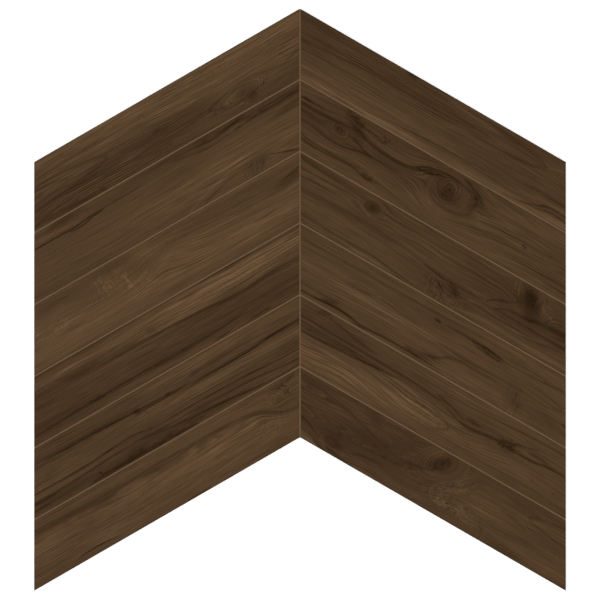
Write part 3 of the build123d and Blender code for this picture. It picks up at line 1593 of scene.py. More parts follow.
RIGHT_2 = PlankPrint(tone=0.46, seed=23.0, marks=(
    band(((0, 40), (60, 38), (140, 38), (205, 40)), 9, -0.07),
    cloud((192, 46), (26, 22), -0.06),
    cloud((120, 74), (110, 6), -0.05),
    cloud((180, 32), (26, 8), 0.05),
    cloud((188, 61), (22, 4), -0.06, turn=8),
    cloud((16, 72), (24, 5), 0.06),
    cloud((290, 60), (50, 12), 0.05),
    Streak(((0, 5), (80, 6), (160, 6), (346, 3)), 5, 8, 0.06),
    Streak(((0, 54), (40, 56), (75, 60), (105, 52), (135, 51), (165, 58)), 4, 9, -0.12, carry=9),
    Streak(((0, 61.5), (10, 62.5), (30, 62.5), (48, 65), (66, 66)), 1.3, 1.2, -0.20, ragged=0.9),
    Patch((10, 62.5), (6, 2.2), -0.11, ragged=0.4),
    Patch((72, 65), (12, 7), -0.12, turn=-30, soft=0.8, ragged=0.5),
    Patch((74, 71), (8, 3), -0.09, turn=-25, soft=0.7, ragged=0.7),
    Streak(((72, 69), (88, 67), (100, 65.5), (107, 62), (113, 66), (118, 71)), 1.2, 1.0, -0.20, ragged=1.4),
    Streak(((62, 66), (76, 61), (90, 54), (110, 50.5), (135, 51), (155, 57), (170, 63)), 1.6, 1.8, -0.17),
    Streak(((0, 55), (30, 55.5), (60, 58), (76, 60)), 1.6, 2.0, -0.14),
    Streak(((0, 47), (20, 46.5), (40, 45)), 1.2, 1.4, -0.12),
    Streak(((0, 36), (20, 34.5), (40, 31), (60, 33), (75, 37), (95, 39), (132, 38)), 1.3, 1.6, -0.16),
    Streak(((60, 48), (72, 47.5), (80, 42), (95, 39)), 1.5, 1.8, -0.16),
    Knot((51, 49), (7, 5), -0.08, turn=20, rings=2.4, ring_tone=0.05, ring_gap=1.8),
    broken((51, 49), (9, 6), -0.11, 50, 1.5, 2.2, turn=20),
    Streak(((150, 56), (165, 58), (178, 62), (192, 65)), 1.2, 1.6, -0.22, ragged=0.9),
    Streak(((150, 57), (160, 62), (178, 67), (195, 69), (212, 67), (224, 60)), 1.2, 1.8, -0.22, ragged=0.8),
    Patch((165, 61), (14, 3.5), -0.06, turn=14, soft=0.8, ragged=0.6),
    Knot((192, 48), (13, 8), -0.09, turn=42, rings=2.3, ring_tone=0.05, ring_gap=2.0, push=0.85),
    broken((192, 48), (12, 7), -0.15, 62, 1.6, 2.2, turn=42),
    broken((196, 54), (20, 14), -0.05, 40, 1.8, 3.0, turn=30),
    broken((228, 58), (14, 10), -0.20, -50, 2.0, 2.6, turn=-44),
    broken((232, 42), (12, 16), 0.07, 64, 2.0, 5.0, turn=-20),
    broken((72, 72), (18, 6), -0.20, -16, 1.8, 3.0, turn=-16),
    broken((110, 67), (10, 5), -0.22, 24, 1.7, 2.4, turn=24),
    broken((88, 14), (14, 4), -0.24, 8, 1.7, 3.0),
    broken((168, 60), (22, 3.5), -0.20, 14, 1.6, 3.0, turn=14),
    cloud((200, 6), (60, 6), -0.04),
    cloud((75, 50), (8, 6), -0.07),
    cloud((110, 22), (40, 8), 0.05),
    Patch((226, 67), (12, 6), -0.08, turn=-38, soft=0.8, ragged=0.5),
    Patch((233, 61), (7, 6), -0.07, soft=0.8, ragged=0.5),
    Patch((224, 50), (5, 13), -0.09, turn=-18, soft=0.8, ragged=0.4),
    Streak(((214, 76), (226, 70), (236, 64), (239, 58)), 1.4, 1.6, -0.20, ragged=0.9),
    Streak(((168, 34), (185, 28.5), (205, 31), (222, 41)), 1.6, 2.2, -0.12),
    Bend((205, 48), (76, 46), push=0.6, clear=0.03),
    Bend((262, 48), (34, 30), clear=0.05),
    band(((0, 20), (12, 17.5), (30, 16.5), (60, 18), (80, 18.5), (97, 17)), 1.0, -0.20),
    Streak(((0, 14.5), (12, 13), (40, 14), (72, 15), (82, 11), (91, 11.5), (97, 16)), 1.3, 1.2, -0.28),
    Patch((86, 12.5), (8, 3.2), -0.12, ragged=0.4),
    Streak(((20, 20), (60, 22), (96, 24)), 1.4, 1.2, 0.12),
    Streak(((270, 14.5), (300, 16.5), (346, 17.5)), 1.0, 1.2, -0.20),
    Streak(((315, 10.5), (346, 10)), 1.3, 1.6, -0.20),
    band(((300, 33), (325, 36), (346, 38)), 1.2, -0.08),
    Patch((292, 37), (3, 2.5), -0.12, ragged=0.4),
    band(((250, 60), (290, 66), (346, 70)), 9, 0.08),
    Streak(((130, 20), (180, 14), (240, 12), (300, 22)), 12, 10, 0.08),
))

RIGHT_3 = PlankPrint(tone=0.47, seed=37.0, marks=(
    Streak(((0, 63), (30, 63), (60, 64), (84, 62)), 1.0, 1.2, -0.16),
    Streak(((0, 74), (30, 71), (55, 69), (78, 68), (96, 67)), 6, 1.4, -0.11, carry=6),
    Knot((94, 63.5), (6.5, 4), -0.15, turn=22, rings=2.4, ring_tone=0.06, push=0.8),
    Patch((94, 64), (5, 3), -0.09, turn=30, ragged=0.4),
    band(((98, 66), (115, 64), (150, 63)), 1.4, -0.12),
    Streak(((56, 63), (74, 61), (86, 54), (102, 50), (122, 50)), 1.2, 1.2, 0.13, carry=8),
    Streak(((0, 38), (50, 41), (100, 41), (150, 36), (172, 33)), 4, 3.5, -0.09, carry=8),
    band(((160, 33.5), (172, 32), (184, 30), (192, 29)), 1.6, -0.30, ragged=0.7),
    Streak(((172, 33), (200, 31), (240, 31)), 1.4, 1.6, -0.14),
    Patch((199, 26), (8, 5), -0.15, turn=-40, ragged=0.5),
    band(((176, 24), (184, 17), (187, 14)), 1.6, -0.24, ragged=0.9),
    band(((180, 17), (183, 10), (187, 3)), 1.2, -0.14, ragged=0.8),
    Figure((180, 13), (26, 15), 0.10, slant=62, pitch=2.6, stretch=5),
    Streak(((0, 11), (30, 9), (60, 8.5), (90, 8.5), (110, 7), (132, 4.5), (150, 1)),
        1.6, 1.6, -0.15, carry=6),
    Streak(((0, 5), (60, 5), (110, 4)), 4, 5, 0.05),
    cloud((30, 56), (34, 9), 0.07),
    cloud((146, 37), (26, 6), 0.08),
    cloud((190, 16), (36, 6), -0.08),
    cloud((55, 15), (60, 5), 0.05),
    cloud((340, 44), (12, 26), -0.06),
    cloud((50, 6), (70, 6), 0.05),
    cloud((190, 26), (70, 6), -0.05),
    cloud((310, 16), (40, 6), 0.05),
    broken((190, 10), (40, 8), -0.10, -12, 1.6, 6.0),
    Streak(((62, 3), (100, 3.5), (125, 1.5)), 1.6, 1.8, 0.20),
    band(((0, 16.5), (60, 17), (105, 16)), 0.9, 0.12),
    band(((0, 1), (10, 1), (22, 0)), 1.4, -0.20),
    Streak(((0, 27), (70, 27), (140, 22), (170, 14)), 5, 5, 0.08, carry=8),
    Streak(((188, 6), (215, 19), (232, 25), (262, 20), (300, 10)), 1.4, 1.8, 0.07),
    band(((195, 2), (230, 8), (290, 7), (346, 6)), 3, 0.14),
    band(((241, 29), (246, 35), (258, 41), (275, 47), (284, 52)), 1.3, -0.18, ragged=0.7),
    band(((250, 27), (262, 33), (280, 37)), 1.4, -0.12),
    Patch((300, 58), (11, 20), -0.15, soft=0.6, ragged=0.3),
    Knot((301.5, 66), (5.5, 7.5), -0.11, rings=3.0, ring_tone=0.07, ring_gap=1.7),
    broken((301, 64), (9, 11), -0.16, 84, 1.6, 2.6),
    Figure((284, 62), (8, 20), 0.11, slant=84, pitch=2.2, stretch=7),
    Figure((318, 60), (14, 19), 0.10, slant=68, pitch=3.0, stretch=7),
    band(((312, 74), (322, 56), (336, 51)), 2.2, 0.12),
    band(((272, 38), (290, 37), (310, 41), (346, 43.5)), 4, -0.24, ragged=0.8),
    Streak(((250, 30), (290, 29), (346, 28.5)), 1.8, 2.0, -0.18),
    band(((290, 35.5), (310, 34), (346, 37)), 1.3, -0.14),
    Patch((280, 22), (40, 10), -0.05),
    cloud((268, 52), (48, 15), -0.09),
))

RIGHT_4 = PlankPrint(tone=0.53, seed=41.0, marks=(
    Streak(((0, 65), (60, 66), (140, 66.5), (230, 69), (300, 70)), 1.2, 1.6, -0.12),
    Streak(((0, 74), (100, 74), (170, 77)), 4, 3, -0.03),
    band(((0, 37), (60, 37.5), (120, 37), (182, 36)), 3.0, 0.14),
    band(((60, 42), (85, 44), (97, 47), (101, 53)), 1.0, -0.12),
    Streak(((101, 53), (110, 47), (125, 44.5), (160, 43)), 1.0, 1.2, -0.12),
    band(((97, 42), (101, 47), (108, 51)), 1.0, 0.08),
    Knot((179.5, 59.5), (3.4, 1.5), -0.20, rings=2.0, ring_tone=0.04, push=0.6),
    Streak(((190, 60), (222, 60.5), (250, 59.5), (266, 57.5)), 1.4, 1.6, -0.22, ragged=0.9),
    Patch((246, 57.5), (20, 3.2), -0.15, turn=-5, ragged=0.5, soft=0.6),
    broken((246, 57), (24, 4), -0.20, -4, 1.5, 6.0, turn=-5),
    broken((302, 62), (30, 5), -0.08, -2, 1.5, 7.0),
    band(((226, 55), (245, 53.5), (264, 52)), 1.0, -0.24, ragged=0.9),
    Streak(((262, 57.5), (290, 57), (320, 59), (346, 60.5)), 1.0, 1.2, -0.18),
    Streak(((178, 34.5), (225, 33), (262, 34.5), (285, 35), (322, 33)), 0.8, 0.9, -0.20),
    Streak(((0, 5), (28, 6), (45, 8), (60, 7), (76, 4.5), (110, 5.5), (140, 6), (176, 5)), 1.3, 1.5, -0.32),
    Streak(((26, 8), (38, 10.5), (50, 14)), 2.4, 2.0, -0.14),
    Patch((145, 7.5), (9, 2.6), -0.12, turn=-20, ragged=0.4),
    Patch((75, 1.5), (10, 2.0), -0.12, ragged=0.4),
    Streak(((150, 10), (175, 16), (192, 24), (206, 28), (235, 28), (262, 31)), 2.0, 1.8, -0.15),
    band(((0, 14.5), (30, 14), (60, 16)), 1.2, -0.10),
    Patch((166, 13), (14, 4), -0.10, turn=20, ragged=0.4),
    Patch((40, 10), (18, 5), -0.06, ragged=0.4),
    cloud((320, 16), (34, 7), -0.08),
    cloud((180, 61), (40, 7), -0.06),
    cloud((120, 32), (60, 8), 0.05),
    cloud((150, 5), (30, 5), -0.06),
    cloud((205, 5), (26, 5), 0.06),
    Patch((277, 20), (11, 17), -0.08, turn=-12, ragged=0.3),
    Streak(((176, 8), (220, 12), (262, 8), (300, 9)), 8, 5, 0.08),
    Figure((277, 17), (12, 20), 0.10, slant=66, pitch=3.4, stretch=5, turn=-12),
    band(((290, 22), (320, 23), (346, 22)), 1.0, -0.08),
    Patch((345, 23), (4, 1.8), -0.17, ragged=0.4),
    Arch((341, 39), 2.4, -0.07, opens_out=False, outline=1.0, inside=3.0, length=60, fibre=0.03),
    band(((240, 74), (290, 73), (346, 71)), 2.5, 0.06),
))

RIGHT_5 = PlankPrint(tone=0.52, seed=53.0, marks=(
    band(((0, 66), (50, 64), (110, 63), (200, 62)), 14, -0.12),
    Patch((32, 75.5), (9, 3), -0.12, turn=20, ragged=0.5),
    Streak(((36, 73), (50, 70.5), (75, 65), (100, 62)), 3.0, 1.6, -0.14, ragged=0.7),
    Streak(((0, 58), (40, 57.5), (100, 56), (150, 55), (185, 51)), 1.2, 1.8, -0.20),
    Streak(((0, 52), (50, 51), (90, 50)), 1.2, 1.4, -0.14),
    Streak(((0, 40), (35, 41.5), (70, 44), (100, 47), (134, 49.5)), 2.2, 1.2, -0.27),
    Streak(((0, 46), (60, 48), (110, 49)), 4, 3, -0.14),
    cloud((30, 23), (110, 17), 0.16),
    cloud((95, 16), (45, 9), 0.03),
    cloud((165, 27), (50, 15), 0.08, turn=-12),
    cloud((250, 47), (62, 10), -0.08),
    Bend((100, 24), (70, 15), clear=0.02, tilt=0.24),
    Bend((170, 34), (44, 20), clear=0.02),
    Bend((250, 24), (60, 18), clear=0.03, tilt=-0.2),
    cloud((45, 38), (44, 4), -0.06),
    cloud((136, 21), (22, 10), 0.07),
    cloud((110, 66), (70, 8), 0.05),
    cloud((140, 38), (44, 4), -0.05),
    cloud((250, 61), (40, 6), 0.05),
    cloud((120, 26), (40, 6), 0.05),
    cloud((74, 14), (20, 5), -0.06),
    broken((60, 46), (76, 3), -0.14, 3, 1.4, 7.0),
    cloud((165, 50), (44, 6), -0.06),
    broken((150, 36), (26, 8), 0.07, -24, 1.7, 3.0),
    Streak(((0, 36), (50, 35), (90, 32), (120, 24)), 1.0, 1.2, -0.09),
    Streak(((0, 30), (40, 28), (80, 22), (112, 14)), 0.9, 1.0, -0.11),
    Streak(((40, 26), (90, 25), (130, 15)), 0.9, 1.0, -0.07),
    Streak(((110, 44), (135, 41), (152, 36), (180, 34)), 1.0, 1.2, -0.10, ragged=0.8),
    band(((118, 47), (140, 45), (158, 38)), 2.2, 0.10, ragged=0.9),
    Figure((165, 26), (36, 17), 0.07, slant=48, pitch=4.5, stretch=4),
    Arch((193, 27), 5.0, -0.16, opens_out=False, outline=1.2, inside=1.8, length=26, fibre=0.04),
    Streak(((176, 57.5), (190, 54.5), (203, 50), (214, 45)), 1.2, 1.4, -0.16),
    Streak(((188, 50), (200, 43.5), (212, 40), (225, 40.5), (240, 43), (262, 45), (272, 45)),
        1.2, 1.5, -0.24),
    band(((205, 33), (225, 38), (246, 42), (264, 44)), 2.0, -0.10),
    Patch((226, 49), (9, 2.6), -0.11, ragged=0.5),
    Patch((270, 44), (11, 5), -0.15, turn=8, soft=0.7, ragged=0.5),
    broken((272, 46), (16, 8), -0.24, 20, 1.7, 3.0, turn=20),
    Streak(((266, 43), (282, 42.5), (303, 43), (320, 46), (346, 46.5)), 1.6, 1.4, -0.28, ragged=0.8),
    Streak(((270, 47), (282, 52), (298, 56), (312, 60)), 1.3, 1.2, -0.16, ragged=0.8),
    band(((296, 50.5), (312, 51), (330, 49.5)), 1.2, -0.16),
    band(((278, 46.5), (290, 48), (306, 47)), 1.6, 0.10),
    Streak(((0, 10), (100, 11), (200, 11), (346, 9)), 1.5, 10, -0.06),
    Streak(((180, 62), (250, 66), (300, 70), (346, 70.5)), 1.4, 1.6, -0.16),
    band(((220, 20), (260, 24), (300, 26)), 8, 0.07),
    band(((150, 74), (200, 72), (260, 74)), 2.0, 0.07),
    Patch((302.5, 20.5), (1.4, 0.9), -0.18, ragged=0.3),
    Patch((330.5, 20.5), (1.6, 0.9), -0.20, ragged=0.3),
))

RIGHT_6 = PlankPrint(tone=0.43, seed=67.0, marks=(
    Knot((41, 18), (9, 7), -0.02, rings=2.2, ring_tone=0.07, ring_gap=1.9, push=0.8),
    broken((41, 18), (12, 9), -0.09, 40, 1.6, 2.2),
    Patch((42, 18), (16, 12), -0.05, soft=0.7, ragged=0.3),
    cloud((44, 28), (64, 20), -0.07),
    Bend((60, 62), (64, 18), clear=0.03),
    Streak(((200, 50), (260, 52), (346, 50)), 14, 12, 0.09),
    Streak(((180, 8), (260, 9), (346, 8)), 8, 9, 0.09),
    Patch((50, 28.5), (4, 2.5), -0.06, turn=30, ragged=0.6),
    Patch((52, 14), (5, 4), -0.05, turn=60, ragged=0.6),
    Streak(((0, 25), (12, 21), (20, 13), (27, 3)), 1.6, 2.0, -0.20),
    Patch((4, 4), (16, 4.5), 0.24, turn=-12, soft=0.5),
    band(((14, 9), (24, 3), (30, 0)), 1.4, -0.14),
    band(((32, 6), (44, 3.5), (60, 1)), 2.4, -0.15),
    band(((58, 9), (66, 15), (84, 20), (110, 22)), 1.8, -0.12, ragged=0.7),
    Streak(((60, 28), (100, 31), (130, 34), (158, 42)), 1.4, 1.6, -0.10),
    cloud((105, 42), (30, 11), -0.12, turn=-8),
    Streak(((0, 70), (40, 66), (80, 56), (110, 45)), 3.0, 3.0, -0.09, carry=6),
    band(((0, 74), (50, 70), (90, 62)), 1.4, -0.08),
    Patch((144, 41.5), (13, 3), -0.09, turn=8, soft=0.7, ragged=0.6),
    Streak(((136, 42), (152, 44), (166, 47), (180, 55)), 1.4, 1.6, -0.09, ragged=0.9),
    Knot((184, 62), (17, 7), -0.05, turn=36, rings=2.4, ring_tone=0.06, ring_gap=2.2, push=0.85),
    broken((183, 61), (18, 5), -0.17, 36, 1.5, 2.6, turn=38),
    Patch((178, 57), (12, 3.5), -0.05, turn=36, soft=0.6, ragged=0.6),
    Patch((190, 67.5), (8, 3), -0.09, turn=30, soft=0.6, ragged=0.7),
    Patch((168, 66), (20, 6), 0.07, turn=30),
    Figure((172, 25), (24, 10), 0.07, slant=38, pitch=3.2, stretch=4),
    broken((198, 21), (30, 9), 0.24, 12, 1.7, 3.6, turn=6),
    broken((196, 38), (26, 5), 0.16, 32, 1.8, 5.0, turn=32),
    cloud((225, 36), (44, 11), 0.07),
    cloud((318, 38), (34, 7), -0.06),
    cloud((146, 60), (30, 12), -0.09),
    cloud((112, 6), (60, 6), 0.06),
    cloud((205, 28), (26, 5), -0.05),
    broken((175, 30), (20, 4), 0.16, 36, 1.7, 4.0, turn=36),
    Patch((214, 18), (12, 7), 0.08, soft=0.6, ragged=0.7),
    Patch((177, 18), (6, 5), 0.10, soft=0.5, ragged=0.8),
    Figure((200, 21), (40, 12), 0.10, slant=60, pitch=3.4, stretch=3),
    Figure((232, 10), (16, 12), 0.09, slant=86, pitch=3.0, stretch=8),
    Patch((262, 6), (22, 5), -0.11, soft=0.7),
    cloud((97, 70), (10, 9), -0.08),
    Arch((298, 58), 2.6, -0.11, outline=1.1, inside=3.2, length=110, fibre=0.06),
    Streak(((262, 49), (280, 46), (296, 41)), 2.2, 1.8, -0.12),
    Streak(((150, 30), (190, 40), (215, 52), (232, 68)), 1.6, 1.6, -0.10, carry=9),
    band(((220, 30), (270, 40), (320, 34), (346, 32)), 7, 0.07),
    band(((230, 22), (290, 18), (346, 16)), 8, 0.08),
))

LEFT_1 = PlankPrint(tone=0.54, seed=79.0, lines=1.25, marks=(
    Streak(((0, 70), (120, 69), (240, 70), (346, 76)), 14, 17, 0.19),
    Figure((60, 67), (110, 14), 0.045, slant=70, pitch=2.4, stretch=3),
    Streak(((0, 50), (50, 48.5), (100, 46), (150, 45)), 1.0, 1.2, -0.07),
    Streak(((0, 42), (40, 40), (80, 39)), 1.0, 1.2, -0.07),
    Patch((12, 42), (22, 7), 0.07, soft=0.4),
    Arch((26, 43), 4.0, -0.08, opens_out=False, outline=0.9, inside=1.4, length=34, fibre=0.03),
    Streak(((0, 34), (12, 31), (20, 27), (30, 27), (42, 20)), 1.1, 1.3, -0.12, ragged=1.6),
    Streak(((0, 28), (8, 22), (26, 22), (32, 17)), 1.0, 1.2, -0.10, ragged=1.6),
    band(((100, 28), (150, 28), (200, 26), (346, 22)), 14, -0.15),
    Streak(((0, 13), (60, 13), (120, 14)), 8, 7, -0.09),
    Streak(((0, 5), (60, 3), (140, 3), (240, 4), (346, 5)), 4, 6, -0.12),
    Patch((68, 22), (13, 9), -0.09, turn=30, ragged=0.3),
    Knot((78, 21), (15, 5.5), 0.0, turn=-5, rings=2.5, ring_tone=0.09, ring_gap=2.0, push=0.7),
    Bend((150, 64), (240, 16), clear=0.09),
    Knot((60, 11), (9, 7), -0.06, turn=34, rings=1.4, ring_tone=0.07, ring_gap=1.9, push=0.3),
    broken((60, 11), (9, 7), -0.07, 40, 1.5, 2.5, turn=34),
    cloud((75, 38), (50, 5), 0.05),
    cloud((160, 15), (45, 7), -0.08),
    cloud((60, 60), (170, 5), -0.04),
    cloud((70, 48), (80, 6), 0.05),
    cloud((280, 70), (60, 7), -0.05),
    cloud((190, 38), (60, 5), -0.05),
    broken((150, 66), (240, 12), -0.05, 0, 1.4, 11.0),
    broken((240, 12), (110, 12), -0.05, -1, 1.5, 9.0),
    Arch((118, 23.5), 2.2, -0.10, opens_out=False, outline=1.1, inside=2.0, length=64, fibre=0.06),
    Arch((41, 25), 5.0, -0.10, outline=1.0, inside=1.6, length=26, fibre=0.03),
    band(((44, 31), (60, 34), (84, 34.5), (104, 30)), 1.0, -0.09),
    Arch((251, 37), 2.7, -0.09, outline=1.0, inside=2.4, length=190, fibre=0.05),
    Arch((302, 37.5), 1.9, -0.08, outline=1.0, inside=2.6, length=120, fibre=0.05),
    Patch((342, 38), (9, 3), -0.11, ragged=0.3),
    Patch((186, 34), (5, 1.6), -0.11, ragged=0.4),
    Streak(((262, 27), (275, 25), (284, 26)), 1.0, 1.2, -0.16, ragged=0.9),
    band(((190, 22.5), (240, 20.5), (300, 18.5), (330, 16)), 0.9, 0.15),
    Streak(((225, 59.5), (265, 60), (346, 58.5)), 2.0, 1.6, -0.15),
    band(((240, 55.5), (290, 55.5), (330, 56)), 1.0, 0.06),
    band(((100, 46), (130, 44.5), (160, 44)), 0.9, 0.12),
    Patch((256, 3.5), (7, 2.6), -0.08, turn=30, ragged=0.7),
    Patch((310, 7), (34, 7), -0.06, turn=6, ragged=0.6),
    Streak(((290, 14), (318, 12), (346, 4)), 1.2, 1.6, -0.10, ragged=1.0),
    Patch((280, 2.5), (22, 2.5), -0.05, ragged=0.6),
))

LEFT_2 = PlankPrint(tone=0.55, seed=83.0, marks=(
    cloud((95, 32), (115, 22), 0.07),
    cloud((160, 50), (42, 8), -0.08),
    cloud((44, 40), (60, 5), 0.05),
    cloud((200, 66), (70, 8), -0.04),
    broken((40, 69), (64, 6), -0.12, -1, 1.5, 9.0),
    broken((300, 62), (44, 3), -0.14, 0, 1.4, 6.0),
    cloud((290, 6), (90, 6), -0.04),
    cloud((305, 44), (80, 20), -0.05),
    band(((150, 74), (240, 73), (346, 73)), 6, -0.06),
    band(((0, 72.5), (60, 73), (130, 73.5)), 1.2, -0.12, ragged=0.8),
    band(((0, 64.5), (50, 65), (70, 65)), 1.0, -0.10, ragged=0.8),
    band(((0, 74), (60, 75), (140, 76), (220, 76)), 5, -0.13),
    Streak(((0, 68), (30, 68), (60, 67.5), (84, 66)), 2.4, 2.0, -0.24),
    Streak(((70, 77), (88, 73.5), (104, 71), (120, 69)), 2.4, 2.2, -0.20, ragged=0.9),
    Patch((80, 65.5), (5, 1.8), -0.17, ragged=0.4),
    Streak(((84, 66), (120, 63), (140, 66), (172, 71)), 1.6, 1.8, -0.16),
    Patch((126, 70), (8, 7), -0.09, ragged=0.3),
    band(((100, 67), (130, 71), (168, 72)), 1.2, -0.12),
    Patch((10, 57.5), (24, 4.5), -0.13, turn=-8, soft=0.7),
    Streak(((0, 52.5), (20, 53.5), (44, 54)), 1.0, 1.1, -0.16),
    band(((100, 62), (160, 60.5), (208, 59.5)), 0.9, 0.09),
    Streak(((196, 66), (212, 64), (245, 63), (272, 62.5), (292, 60), (312, 60), (346, 60.5)),
        1.2, 1.1, -0.23, ragged=0.8),
    Streak(((254, 62), (270, 60), (284, 57), (300, 57.5)), 1.1, 1.3, -0.22),
    Streak(((285, 63), (315, 66), (346, 68)), 3.5, 2.5, 0.16),
    Patch((308, 76), (20, 5.5), -0.15, turn=-6, soft=0.7, ragged=0.3),
    Streak(((0, 25), (40, 27), (80, 29), (130, 30)), 3.5, 3, 0.08),
    Arch((146, -6), 13.0, 0.10, opens_out=False, outline=1.4, inside=1.6, length=90, fibre=0.05),
    Arch((128, -6), 11.0, -0.09, opens_out=False, outline=1.2, inside=3.0, length=84, fibre=0.05),
    Streak(((24, 24), (45, 26.5), (70, 26), (92, 22)), 1.3, 1.6, -0.13),
    band(((0, 2), (18, 8), (42, 16.5)), 1.0, -0.26),
    band(((0, 6), (20, 12), (40, 20)), 1.2, 0.05),
    Patch((56, 12), (16, 10), -0.12, soft=0.5, ragged=0.3),
    Figure((55, 8), (18, 12), 0.12, slant=110, pitch=2.6, stretch=4),
    Streak(((140, 35), (220, 30), (346, 34)), 10, 9, 0.05),
    band(((150, 23), (240, 20), (346, 12)), 1.2, -0.07),
    band(((0, 40), (120, 42), (240, 40), (346, 42)), 1.5, -0.04),
    Patch((212, 53.5), (8, 1.2), -0.08, ragged=0.4),
))

LEFT_3 = PlankPrint(tone=0.65, seed=97.0, lines=1.1, marks=(
    cloud((70, 20), (85, 11), 0.07),
    Streak(((0, 4), (160, 3), (346, 4)), 4, 6, -0.05),
    cloud((305, 72), (26, 8), -0.06),
    Streak(((0, 68), (60, 66), (130, 68), (200, 76)), 10, 16, -0.14),
    Patch((10, 56), (22, 5.5), -0.17, turn=-6, soft=0.7),
    Streak(((0, 64), (12, 61), (26, 57)), 1.2, 1.4, -0.16),
    Streak(((0, 50.5), (40, 50), (86, 51)), 1.2, 1.4, -0.10),
    Streak(((0, 45), (60, 45.5), (110, 49.5), (140, 50)), 1.0, 1.0, 0.08, carry=8),
    band(((0, 35), (40, 38), (100, 41), (140, 43)), 1.0, -0.07),
    band(((20, 32.5), (60, 33), (110, 32)), 0.9, 0.09),
    band(((26, 31), (44, 29), (60, 28.5)), 1.2, -0.17, ragged=0.8),
    Streak(((60, 27.5), (100, 27), (150, 30)), 1.0, 1.2, -0.08),
    band(((150, 20), (220, 20), (346, 14)), 12, 0.04),
    Bend((178, 46), (42, 20), swell=-15, clear=0.05),
    broken((228, 50), (24, 6), 0.22, 52, 1.7, 5.0, turn=52),
    broken((256, 58), (20, 9), 0.18, 44, 1.7, 4.0, turn=44),
    broken((200, 38), (14, 8), 0.12, 42, 1.8, 3.0, turn=20),
    broken((320, 38), (34, 8), 0.12, 10, 1.8, 4.0),
    cloud((134, 50), (30, 8), 0.05),
    cloud((326, 54), (34, 10), 0.06),
    cloud((250, 26), (90, 6), 0.05),
    cloud((35, 5), (60, 5), -0.06),
    Figure((185, 46), (30, 16), 0.06, slant=-42, pitch=4.0, stretch=5),
    Streak(((160, 66), (190, 67), (212, 62), (224, 54)), 1.1, 1.0, 0.10),
    Streak(((170, 62), (194, 61), (210, 54), (216, 46)), 1.0, 1.2, 0.07),
    cloud((215, 56), (26, 9), -0.07, turn=20),
    Figure((232, 50), (22, 22), 0.05, slant=52, pitch=3.4, stretch=5),
    Figure((256, 58), (16, 18), 0.05, slant=48, pitch=2.8, stretch=5),
    Figure((262, 50), (12, 12), 0.09, slant=-78, pitch=3.2, stretch=4),
    Patch((246, 74), (26, 6), -0.14, soft=0.7),
    cloud((300, 62), (44, 16), -0.08),
    Streak(((270, 56), (274, 44), (288, 38), (346, 44)), 1.2, 1.6, 0.08, ragged=0.8),
    Figure((316, 40), (34, 9), 0.07, slant=66, pitch=3.0, stretch=3),
    Streak(((278, 28.5), (290, 27.5), (300, 27)), 0.9, 1.0, -0.18),
    Streak(((0, 12), (70, 13), (140, 8), (220, 4)), 7, 5, -0.07),
    cloud((338, 66), (16, 14), -0.08),
    band(((300, 68), (325, 72), (346, 77)), 1.4, -0.08),
))

LEFT_4 = PlankPrint(tone=0.43, seed=101.0, marks=(
    Streak(((0, 63), (60, 63), (130, 65), (200, 68), (262, 69), (346, 69)), 12, 13, 0.24),
    cloud((50, 62), (110, 13), 0.11),
    cloud((295, 74), (90, 8), -0.11),
    Bend((150, 64), (200, 14), clear=0.10),
    Figure((70, 60), (90, 11), 0.05, slant=60, pitch=2.6, stretch=3),
    Streak(((30, 60), (60, 56), (90, 55), (130, 58)), 1.0, 1.2, -0.08, ragged=0.8),
    Streak(((60, 79), (160, 79), (346, 79)), 2, 3, -0.08),
    Streak(((18, 45), (40, 42.5), (70, 40.5), (92, 41.5), (130, 45.5), (180, 48.5), (270, 49)),
        1.6, 3.0, -0.20),
    band(((100, 46), (150, 50), (220, 50.5)), 1.2, 0.10),
    band(((180, 57), (240, 56), (300, 54), (346, 56)), 8, -0.08),
    Patch((286, 55), (22, 4), -0.08, soft=0.7, ragged=0.4),
    band(((225, 61), (255, 64.5), (290, 67.5), (320, 66.5), (346, 65)), 1.2, 0.14),
    band(((80, 26.5), (120, 31), (180, 31.5), (250, 30), (290, 29)), 0.9, 0.13),
    band(((0, 22), (80, 24), (150, 28)), 2.5, -0.08),
    Streak(((66, 17), (88, 13.5), (120, 11.5), (160, 10.5), (200, 11)), 2.0, 1.4, -0.14),
    band(((112, 14), (150, 13.5), (210, 14), (262, 13.5), (300, 12.5), (346, 10.5)), 1.4, -0.17, ragged=0.9),
    cloud((310, 15), (60, 8), -0.06),
    Streak(((260, 18), (300, 20), (346, 19)), 3.5, 2.5, -0.08),
    band(((0, 14), (60, 15), (140, 16)), 6, -0.06),
    broken((240, 13), (130, 3), -0.12, -1, 1.4, 5.0),
    broken((60, 4), (70, 3), -0.10, 0, 1.5, 5.0),
    cloud((16, 70), (50, 6), 0.08),
    cloud((220, 48), (50, 6), 0.06),
    cloud((170, 16), (60, 6), -0.05),
    cloud((100, 61), (26, 5), -0.06),
    Patch((265, 13.5), (9, 2), -0.11, ragged=0.5),
    Streak(((36, 5), (52, 4), (64, 3.5)), 1.2, 1.0, -0.20, ragged=1.2),
    band(((86, 4), (98, 3), (112, 2.5)), 1.2, -0.20, ragged=0.8),
    cloud((120, 4), (90, 4), 0.05),
    Patch((343, 42), (8, 1.5), -0.12, ragged=0.4),
    Patch((194, 56), (8, 3), -0.09, turn=30, ragged=0.5),
))

